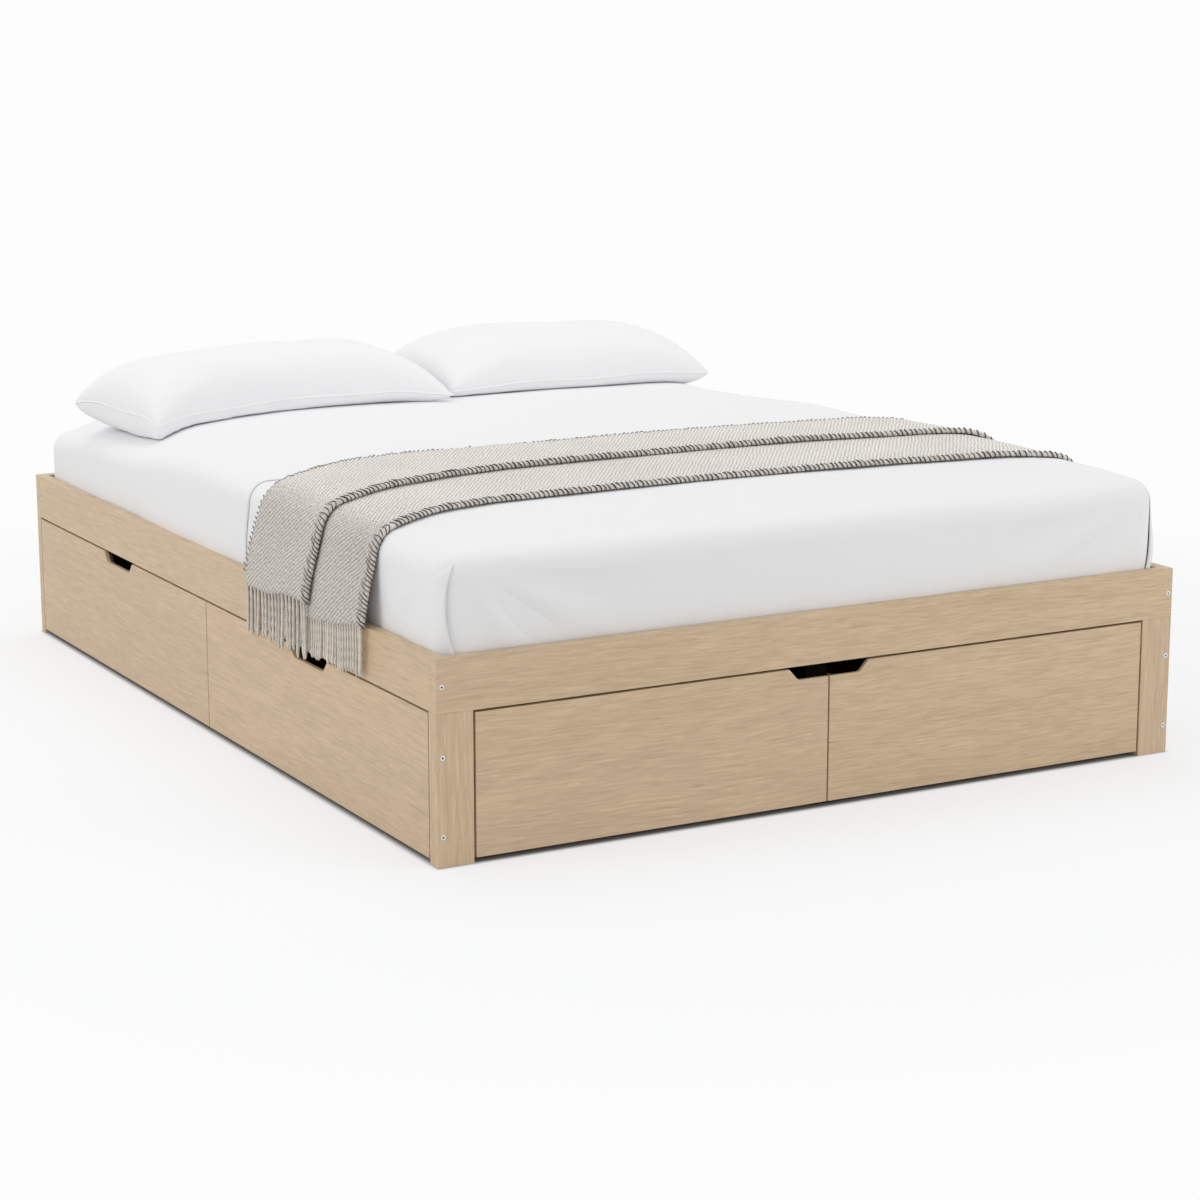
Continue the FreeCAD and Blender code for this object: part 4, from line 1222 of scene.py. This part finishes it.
    def hem(self, name: str, share: float, pale: bpy.types.Material) -> bpy.types.Object:
        """The rolled hem along one of the cloth's free edges."""
        start, end = self.ends(share)
        count = 260
        line = []
        for i in range(count):
            run = start + (end - start) * i / (count - 1)
            point, out = self.surface_point(run, share)
            line.append(point - out * (self.hem_radius - self.cloth_thick / 2))
        mesh = tube_mesh(name, line, [self.hem_radius] * count, 10)
        mesh.materials.append(pale)
        return linked(name, mesh)

    def fold_share(self, run: float) -> float:
        """The share across the cloth where its rear fold turns back."""
        _, _, low, turn, high = self.spans(run)
        return (low + turn / 2) / (low + turn + high)

    def whipping(self, name: str, share_at: Callable[[float], float], whip: "Whip", runs: tuple[float, float],
                 yarn: bpy.types.Material) -> bpy.types.Object:
        """Slanting stitches over an edge of the cloth.

        Args:
            name: the piece's name.
            share_at: the edge's share across the cloth at a run.
            whip: the stitch's sizes.
            runs: where the row starts and ends.
            yarn: its finish.

        Returns:
            The stitches as one piece.
        """
        start, end = runs
        count = int((end - start) / whip.step)
        places, ahead, outward = [], [], []
        for i in range(count):
            run = start + (end - start) * (i + 0.5) / count
            share = share_at(run)
            point, out = self.surface_point(run, share)
            after, _ = self.surface_point(run + 0.004, share_at(run + 0.004))
            along = (after - point).normalized()
            rise = 0.0 if whip.turned else self.cloth_thick / 2 - self.hem_radius
            places.append(point + out * rise)
            ahead.append(-along if whip.turned else along)
            outward.append(out)
        return strewn(name, places, ahead, outward, whip.mesh(), yarn, Spread(seed=11, turn=0.16, size=0.16))

    @staticmethod
    def tassel_length(y: float, upper: bool) -> float:
        """How long the tassel at that y is, in the upper layer's row or in the lower one's."""
        if upper:
            return 0.093 + 0.019 * smooth_step(0.25, 0.53, -y)
        return 0.066 + 0.010 * smooth_step(0.50, 0.54, -y) + 0.022 * smooth_step(0.54, 0.76, -y)

    def fringe(self) -> bpy.types.Object:
        """Twisted tassels that hang from the woven left end, one row for each layer."""
        places, ahead, outward = [], [], []
        begin = float(self.path.run[0])
        for low, high in ((0.0, 0.545), (0.560, 1.0)):
            count = int(abs(self.cross(begin, high)[0] - self.cross(begin, low)[0]) / self.tassel_step)
            for i in range(count):
                share = low + (high - low) * (i + 0.5) / count
                point, _ = self.surface_point(self.ends(share)[0] + 0.006, share)
                places.append(point)
                ahead.append(Vector((0, -1, 0)))
                outward.append(Vector((0, 0, self.tassel_length(point.y, low > 0) / self.tassel_usual)))
        return strewn("throw_tassels", places, ahead, outward, tassel_mesh(self.tassel_usual, 0.0028),
                      painted(TwistedYarn("fringe_yarn")), Spread(seed=5, turn=0.030, size=0.05))


def tube_mesh(name: str, line: Sequence[Vector], radii: Sequence[float], sides: int, lobes: int = 0,
              twist: float = 0.0) -> bpy.types.Mesh:
    """A closed tube along a line.

    Args:
        name: the mesh's name.
        line: its middle line.
        radii: its radius at each point.
        sides: faces round it.
        lobes: strands that show in its section.
        twist: turns of the strands along the whole line.

    Returns:
        The mesh.
    """
    strand_swell = 0.15
    points, faces = [], []
    last = len(line) - 1
    guide = Vector((0, 1, 0.01))
    for i, spot in enumerate(line):
        along = (line[min(last, i + 1)] - line[max(0, i - 1)]).normalized()
        side = along.cross(guide if abs(along.y) < 0.95 else Vector((0, 0, 1))).normalized()
        rise = side.cross(along)
        for k, (a, b) in enumerate(ring(sides)):
            turn = FULL_TURN * (k / sides - twist * i / last)
            swell = 1 + (strand_swell * math.cos(lobes * turn) if lobes else 0)
            points.append(spot + (side * a + rise * b) * radii[i] * swell)
            if i < last:
                n = (k + 1) % sides
                faces.append((i * sides + k, (i + 1) * sides + k, (i + 1) * sides + n, i * sides + n))
    faces.append(tuple(range(sides)))
    faces.append(tuple(reversed(range(last * sides, (last + 1) * sides))))
    return plain_mesh(name, points, faces, smooth=True)


@dataclass(frozen=True)
class Whip:
    """One whip stitch: its sizes, the way it leans and the step from one to the next."""

    radius: float
    reach: float
    thick: float
    lean: float
    step: float
    turned: bool = False

    def mesh(self) -> bpy.types.Mesh:
        """From the cloth's upper face over its edge to the lower face.

        Its x runs along the edge, y into the cloth and z outwards from the bed; the edge's middle is its origin.
        """
        line = []
        count = 11
        for i in range(count):
            share = i / (count - 1)
            if share < 0.4:
                into = 1 - share / 0.4
                level = self.radius - 8.0 * (self.reach * into) ** 2
                line.append(Vector((0.0050 * into, self.reach * into, level)))
            else:
                turn = (share - 0.4) / 0.6 * math.pi * 0.85
                line.append(Vector((self.lean * 0.0028 * turn, -math.sin(turn) * self.radius,
                                    self.radius * math.cos(turn))))
        radii = [self.thick * (0.45 + 0.55 * min(1.0, i / 4)) for i in range(count)]
        return tube_mesh("whip_stitch", line, radii, 4)


def tassel_mesh(length: float, radius: float) -> bpy.types.Mesh:
    """One tassel of twisted yarn hanging along -z of its own frame, frayed at its tip."""
    steps = 26
    line, radii = [], []
    for i in range(steps):
        share = i / (steps - 1)
        line.append(Vector((0.0014 * math.sin(share * 5), 0.0, -share * length)))
        neck = 0.72 + 0.28 * smooth_step(0.0, 0.18, share)
        tip = 1 + 0.15 * smooth_step(0.75, 0.9, share) - 0.75 * smooth_step(0.93, 1.0, share)
        radii.append(radius * neck * tip)
    return tube_mesh("tassel", line, radii, 10, lobes=2, twist=2.6)


@dataclass(frozen=True)
class Spread:
    """How much the copies of a repeated piece differ."""

    seed: int
    turn: float
    size: float


def strewn(name: str, places: Sequence[Vector], ahead: Sequence[Vector], outward: Sequence[Vector],
           shape: bpy.types.Mesh, material: bpy.types.Material, spread: Spread) -> bpy.types.Object:
    """Copies of a mesh at places, by Geometry Nodes, as one plain mesh.

    Args:
        name: the piece's name.
        places: where the copies stand.
        ahead: the direction of each copy's x axis.
        outward: the direction of each copy's z axis; its length stretches the copy along that axis.
        shape: the mesh to repeat.
        material: the finish.
        spread: how much the copies differ.

    Returns:
        The finished object.
    """
    holder = linked("pattern_" + shape.name, shape)
    thing = mesh_piece(name, places, [], material)
    for label, directions in (("ahead", ahead), ("outward", outward)):
        data = thing.data.attributes.new(label, "FLOAT_VECTOR", "POINT")
        data.data.foreach_set("vector", np.array([tuple(d) for d in directions], np.float32).ravel())
    tree = strewing_tree(name + "_tree")
    modifier = thing.modifiers.new("copies", "NODES")
    modifier.node_group = tree
    entries = {"Pattern": holder, "Turn": spread.turn, "Size spread": spread.size, "Seed": spread.seed,
               "Finish": material}
    for item in tree.interface.items_tree:
        if item.in_out == "INPUT" and item.name in entries:
            modifier[item.identifier] = entries[item.name]
    settled(thing)
    bpy.data.objects.remove(holder)
    log.info("%s: %d copies, %d faces", name, len(places), len(thing.data.polygons))
    return thing


def strewing_tree(name: str) -> bpy.types.GeometryNodeTree:
    """The node tree that puts a pattern piece at each point and turns it by the point's own directions."""
    tree = bpy.data.node_groups.new(name, "GeometryNodeTree")
    for label, kind in (("Geometry", "Geometry"), ("Pattern", "Object"), ("Turn", "Float"), ("Size spread", "Float"),
                        ("Seed", "Int"), ("Finish", "Material")):
        tree.interface.new_socket(label, in_out="INPUT", socket_type="NodeSocket" + kind)
    tree.interface.new_socket("Geometry", in_out="OUTPUT", socket_type="NodeSocketGeometry")

    def make(kind: str, inputs: dict[Any, Any] | None = None, output: Any = 0, **settings: Any) -> Any:
        """One output of a new node."""
        return add_node(tree, kind, settings, inputs).outputs[output]

    def direction(label: str) -> bpy.types.NodeSocket:
        """A direction that is stored at each point."""
        return make("GeometryNodeInputNamedAttribute", {"Name": label}, "Attribute", data_type="FLOAT_VECTOR")

    def drawn(low: bpy.types.NodeSocket, high: bpy.types.NodeSocket, first_seed: int) -> bpy.types.NodeSocket:
        """A vector of three random numbers for each copy."""
        numbers = {}
        for axis in range(3):
            seed = make("ShaderNodeMath", {0: given.outputs["Seed"], 1: first_seed + axis}, operation="ADD")
            node = add_node(tree, "FunctionNodeRandomValue", {"data_type": "FLOAT"}, {"Seed": seed})
            limits = [socket for socket in node.inputs if socket.enabled and socket.name in ("Min", "Max")]
            for socket, limit in zip(limits, (low, high)):
                tree.links.new(limit, socket)
            numbers[axis] = [socket for socket in node.outputs if socket.enabled][0]
        return make("ShaderNodeCombineXYZ", numbers)

    def scaled(label: str, factor: float, offset: float) -> bpy.types.NodeSocket:
        """A given number times a factor, and an offset."""
        return make("ShaderNodeMath", {0: given.outputs[label], 1: factor, 2: offset}, operation="MULTIPLY_ADD")

    given = add_node(tree, "NodeGroupInput")
    pattern = make("GeometryNodeObjectInfo", {"Object": given.outputs["Pattern"]}, "Geometry")
    outward = direction("outward")
    upright = make("FunctionNodeAlignRotationToVector", {"Vector": outward}, axis="Z")
    forward = make("FunctionNodeAlignRotationToVector", {"Rotation": upright, "Vector": direction("ahead")},
                   axis="X", pivot_axis="Z")
    angles = drawn(scaled("Turn", -1.0, 0.0), given.outputs["Turn"], 0)
    turned = make("FunctionNodeEulerToRotation", {0: angles})
    both = make("FunctionNodeRotateRotation", {"Rotation": forward, "Rotate By": turned}, rotation_space="LOCAL")
    size = drawn(scaled("Size spread", -1.0, 1.0), scaled("Size spread", 1.0, 1.0), 10)
    measure = make("ShaderNodeVectorMath", {0: outward}, "Value", operation="LENGTH")
    stretch = make("ShaderNodeVectorMath", {0: measure, 1: (0, 0, 1), 2: (1, 1, 0)}, operation="MULTIPLY_ADD")
    scale = make("ShaderNodeVectorMath", {0: stretch, 1: size}, operation="MULTIPLY")
    copies = make("GeometryNodeInstanceOnPoints", {"Points": given.outputs["Geometry"], "Instance": pattern,
                                                   "Rotation": both, "Scale": scale})
    real = make("GeometryNodeRealizeInstances", {0: copies})
    paint = make("GeometryNodeSetMaterial", {"Geometry": real, "Material": given.outputs["Finish"]})
    add_node(tree, "NodeGroupOutput", inputs={0: paint})
    return tree


# Frame and drawers


@dataclass
class ScrewHeads:
    """Flat nickel heads with a hexagon recess at the corners of both end boards."""

    radius: float = 0.0046
    thick: float = 0.0010
    socket: float = 0.0021
    inset: float = 0.010
    half_width: float = 0.775
    half_length: float = 1.025
    levels: tuple[float, ...] = (0.054, 0.191, 0.312)

    def head(self) -> bpy.types.Mesh:
        """One head: a chamfered disc with a hexagon sunk in it, facing +z."""
        sides = 24
        profile = [(self.radius, 0.0), (self.radius, self.thick * 0.6), (self.radius * 0.90, self.thick),
                   (self.socket * 1.28, self.thick)]
        points = [(x, y, height) for radius, height in profile for x, y in ring(sides, radius)]
        faces = []
        for share, height in ((1.0, self.thick), (0.96, self.thick * 0.12)):
            for k in range(sides):
                turn = FULL_TURN * k / sides
                flat = self.socket * share / math.cos(turn % (math.pi / 3) - math.pi / 6)
                points.append((flat * math.cos(turn), flat * math.sin(turn), height))
        for row in range(len(profile) + 1):
            for k in range(sides):
                n = (k + 1) % sides
                faces.append((row * sides + k, row * sides + n, (row + 1) * sides + n, (row + 1) * sides + k))
        last = (len(profile) + 1) * sides
        faces.append(tuple(range(last, last + sides)))
        faces.append(tuple(reversed(range(sides))))
        return plain_mesh("screw_head", points, faces, smooth=False)

    def socket_floor(self) -> bpy.types.Mesh:
        """A dark disc in one hexagon socket: painted shade of the recess."""
        points = [(x, y, self.thick * 0.30) for x, y in ring(6, self.socket * 0.94)]
        return plain_mesh("socket_floor", points, [tuple(range(6))], smooth=False)

    def build(self) -> None:
        """Puts a head at each screw."""
        places, ahead, outward = [], [], []
        for end in (-1, 1):
            for side in (-1, 1):
                for level in self.levels:
                    places.append(Vector((side * (self.half_width - self.inset), end * self.half_length, level)))
                    ahead.append(Vector((math.cos(level * 40), 0, math.sin(level * 40))))
                    outward.append(Vector((0, end, 0)))
        # The socket discs are near black: painted shade in the hexagon recesses.
        dark = PlatedSteel("socket_steel", (0.10, 0.10, 0.11), 0.5)
        heads, sockets = (strewn("corner_screw_" + name, places, ahead, outward, shape, painted(finish),
                                 Spread(seed=3, turn=0.0, size=0.0))
                          for name, shape, finish in (("heads", self.head(), NICKEL),
                                                      ("sockets", self.socket_floor(), dark)))
        declare(heads, "screw_steel", "corner_screws")
        declare(sockets, "screw_steel")


@dataclass
class Frame:
    """The rails, panels, posts and slat bed, each with its own run of grain."""

    grains: dict[str, tuple[Grain, float]] = field(default_factory=lambda: {
        "foot_rail": (Grain.ALONG_X, 0.0), "foot_leg_left": (Grain.UPRIGHT, 1.3),
        "foot_leg_right": (Grain.UPRIGHT, 2.6),
        "head_panel": (Grain.ALONG_X, 3.1), "side_rail_left": (Grain.ALONG_Y, 4.2),
        "side_panel_right": (Grain.ALONG_Y, 5.7), "corner_post_foot_left": (Grain.UPRIGHT, 6.1)})
    inner: tuple[str, ...] = ("corner_post_foot_right", "corner_post_head_left", "corner_post_head_right",
                              "divider_post")

    def dress(self) -> None:
        """Gives every board its finish."""
        for node, (grain, seed) in self.grains.items():
            dress(node, OakDecor(node + "_oak", grain, seed))
        for number, node in enumerate(self.inner):
            dress(node, OakDecor(node + "_oak", Grain.UPRIGHT, 7.0 + number, INNER_TONE, 0.7, 0.55))
        rail_pine, leg_pine = PlanedPine("rail_pine", Grain.ALONG_Y), PlanedPine("leg_pine", Grain.UPRIGHT)
        for node, finish in (("slats", PlanedPine("slat_pine", Grain.ALONG_X)),
                             ("side_cleat_left", rail_pine), ("side_cleat_right", rail_pine),
                             # The centre beam and the foot's centre post get near-black colour and little gloss:
                             # painted shade behind the foot notch.
                             ("centre_beam", PlanedPine("stained_pine", Grain.ALONG_Y, PAINTED_SHADE_BLACK, 0.04)),
                             ("foot_centre_post", PlanedPine("stained_post", Grain.UPRIGHT, PAINTED_SHADE_BLACK, 0.04)),
                             ("centre_leg_foot_end", leg_pine), ("centre_leg_head_end", leg_pine),
                             ("beam_bracket", ZINC), ("centre_leg_glides", CASTOR_NYLON),
                             ("drawer_buffers", BUFFER_RUBBER)):
            dress(node, finish)
        log.info("frame dressed: %d boards", len(self.grains) + len(self.inner))


@dataclass
class DrawerDress:
    """One drawer's finishes."""

    name: str
    grain: Grain
    seed: float

    def dress(self) -> None:
        """Gives the front, walls, bottom and castors their finishes."""
        cross = Grain.ALONG_X if self.grain is Grain.ALONG_Y else Grain.ALONG_Y
        walls = {grain: OakDecor("wall_" + grain.value, grain, 12.5, INNER_TONE, 0.7, 0.55)
                 for grain in (cross, self.grain)}
        for part, finish in (("front", OakDecor(self.name + "_front_oak", self.grain, self.seed)),
                             ("left_side", walls[cross]), ("right_side", walls[cross]), ("back", walls[self.grain]),
                             ("bottom", BOTTOM_LACQUER), ("castor_forks", ZINC),
                             ("front_wheels", CASTOR_NYLON), ("rear_wheels", CASTOR_NYLON)):
            dress("%s_%s" % (self.name, part), finish)
        log.info("%s dressed", self.name)


DRAWERS = (DrawerDress("head_side_drawer", Grain.ALONG_Y, 8.3),
           DrawerDress("foot_side_drawer", Grain.ALONG_Y, 9.6),
           DrawerDress("left_foot_drawer", Grain.ALONG_X, 10.2),
           DrawerDress("right_foot_drawer", Grain.ALONG_X, 11.9))


# Studio


@dataclass
class Studio:
    """Plain pale floor, soft light and the camera."""

    camera_place: Point = (-2.8225, -5.2773, 1.4829)
    camera_yaw: float = 0.5060
    camera_pitch: float = 0.2136
    camera_lens: float = 88.33
    sky: float = 0.74
    backdrop: Colour = (0.982, 0.982, 0.982)

    def build(self) -> None:
        """Makes the camera, the floor and the lamps."""
        lens = bpy.data.cameras.new("camera")
        lens.lens = self.camera_lens
        lens.sensor_width = 36.0
        lens.clip_end = 100.0
        camera = linked("camera", lens)
        camera.location = self.camera_place
        camera.rotation_euler = (math.pi / 2 - self.camera_pitch, 0.0, -self.camera_yaw)
        bpy.context.scene.camera = camera
        bpy.context.scene.view_settings.view_transform = "Standard"
        self.floor()
        self.world()
        self.lamp("key_light", (-4.7, -0.2, 3.4), (0.0, 0.3, 0.3), 2.4, 58.0)
        self.lamp("top_light", (0.3, 1.4, 4.5), (0.0, 0.6, 0.4), 3.0, 38.0)
        self.lamp("fill_light", (3.8, -4.8, 1.9), (0.5, -1.0, 0.3), 2.4, 62.0)
        log.info("studio ready")

    def seen(self, shop: Shop) -> Signal:
        """1 where the ray comes from the camera, a gloss or a glass."""
        path = shop.add("ShaderNodeLightPath")
        rays = [Signal(shop, path.outputs["Is %s Ray" % kind]) for kind in ("Camera", "Glossy", "Transmission")]
        return rays[0].top(rays[1].top(rays[2]))

    def floor(self) -> None:
        """A pale floor that shows near white but keeps the bed's soft shadow, with painted shade under the bed where
        its glow is left out.
        """
        shop = Shop(bpy.data.materials.new("floor_paint"))
        x, y, z = shop.place()
        grain = shop.cloud(x, y, z, scale=3.0)
        tone = shop.mixed(grain, (0.745, 0.745, 0.745), (0.755, 0.755, 0.755))
        paint = shop.add("ShaderNodeBsdfDiffuse", inputs={"Color": tone})
        shade = shop.add("ShaderNodeBsdfDiffuse", inputs={"Color": (0.366, 0.372, 0.380)})
        # Under the bed's footprint the floor's glow is left out, which paints shade beneath the bed.
        outside = (x.size() - 0.765).over(0.0, 0.02).top((y.size() - 1.015).over(0.0, 0.02))
        glow = shop.add("ShaderNodeEmission", inputs={"Color": (1.0, 1.0, 1.0), "Strength": 0.588})
        under_bed_painted_shade = shop.add("ShaderNodeEmission", inputs={"Color": (0.0, 0.0, 0.0), "Strength": 0.0})
        bright = shop.blended(outside, under_bed_painted_shade, glow)
        lit = shop.add("ShaderNodeAddShader", inputs={0: shade.outputs[0], 1: bright.outputs[0]})
        plain = shop.add("ShaderNodeEmission", inputs={"Color": self.backdrop, "Strength": 1.0})
        away = ((x * x + y * y) ** 0.5).over(1.7, 2.6)
        mix = shop.blended(self.seen(shop), paint, shop.blended(away, lit, plain))
        shop.add("ShaderNodeOutputMaterial", inputs={0: mix.outputs[0]})
        far = 40.0
        floor = mesh_piece("floor", [(-far, -far, 0), (far, -far, 0), (far, far, 0), (-far, far, 0)],
                           [(0, 1, 2, 3)], shop.owner)

    def world(self) -> None:
        """Even light, seen as the backdrop's near white."""
        shop = Shop(bpy.data.worlds.new("studio"))
        bpy.context.scene.world = shop.owner
        light = shop.add("ShaderNodeBackground", inputs={"Color": (1.0, 1.0, 1.0), "Strength": self.sky})
        shown = shop.add("ShaderNodeBackground", inputs={"Color": self.backdrop, "Strength": 1.0})
        mix = shop.blended(self.seen(shop), light, shown)
        shop.add("ShaderNodeOutputWorld", inputs={0: mix.outputs[0]})

    @staticmethod
    def lamp(name: str, place: Point, target: Point, size: float, power: float) -> None:
        """A square soft light that looks at a target."""
        data = bpy.data.lights.new(name, "AREA")
        data.shape = "SQUARE"
        data.size = size
        data.energy = power
        lamp = linked(name, data)
        lamp.location = place
        lamp.rotation_euler = (Vector(target) - Vector(place)).to_track_quat("-Z", "Y").to_euler()


def main() -> None:
    """Builds the studio, dresses the frame and makes the bedding."""
    logging.basicConfig(level=logging.INFO, format="%(name)s: %(message)s", stream=sys.stdout)
    Studio().build()
    Frame().dress()
    for drawer in DRAWERS:
        drawer.dress()
    ScrewHeads().build()
    Bedding().build()
    for pillow in PILLOWS:
        pillow.build()
    Throw().build()


if __name__ == "__main__":
    main()
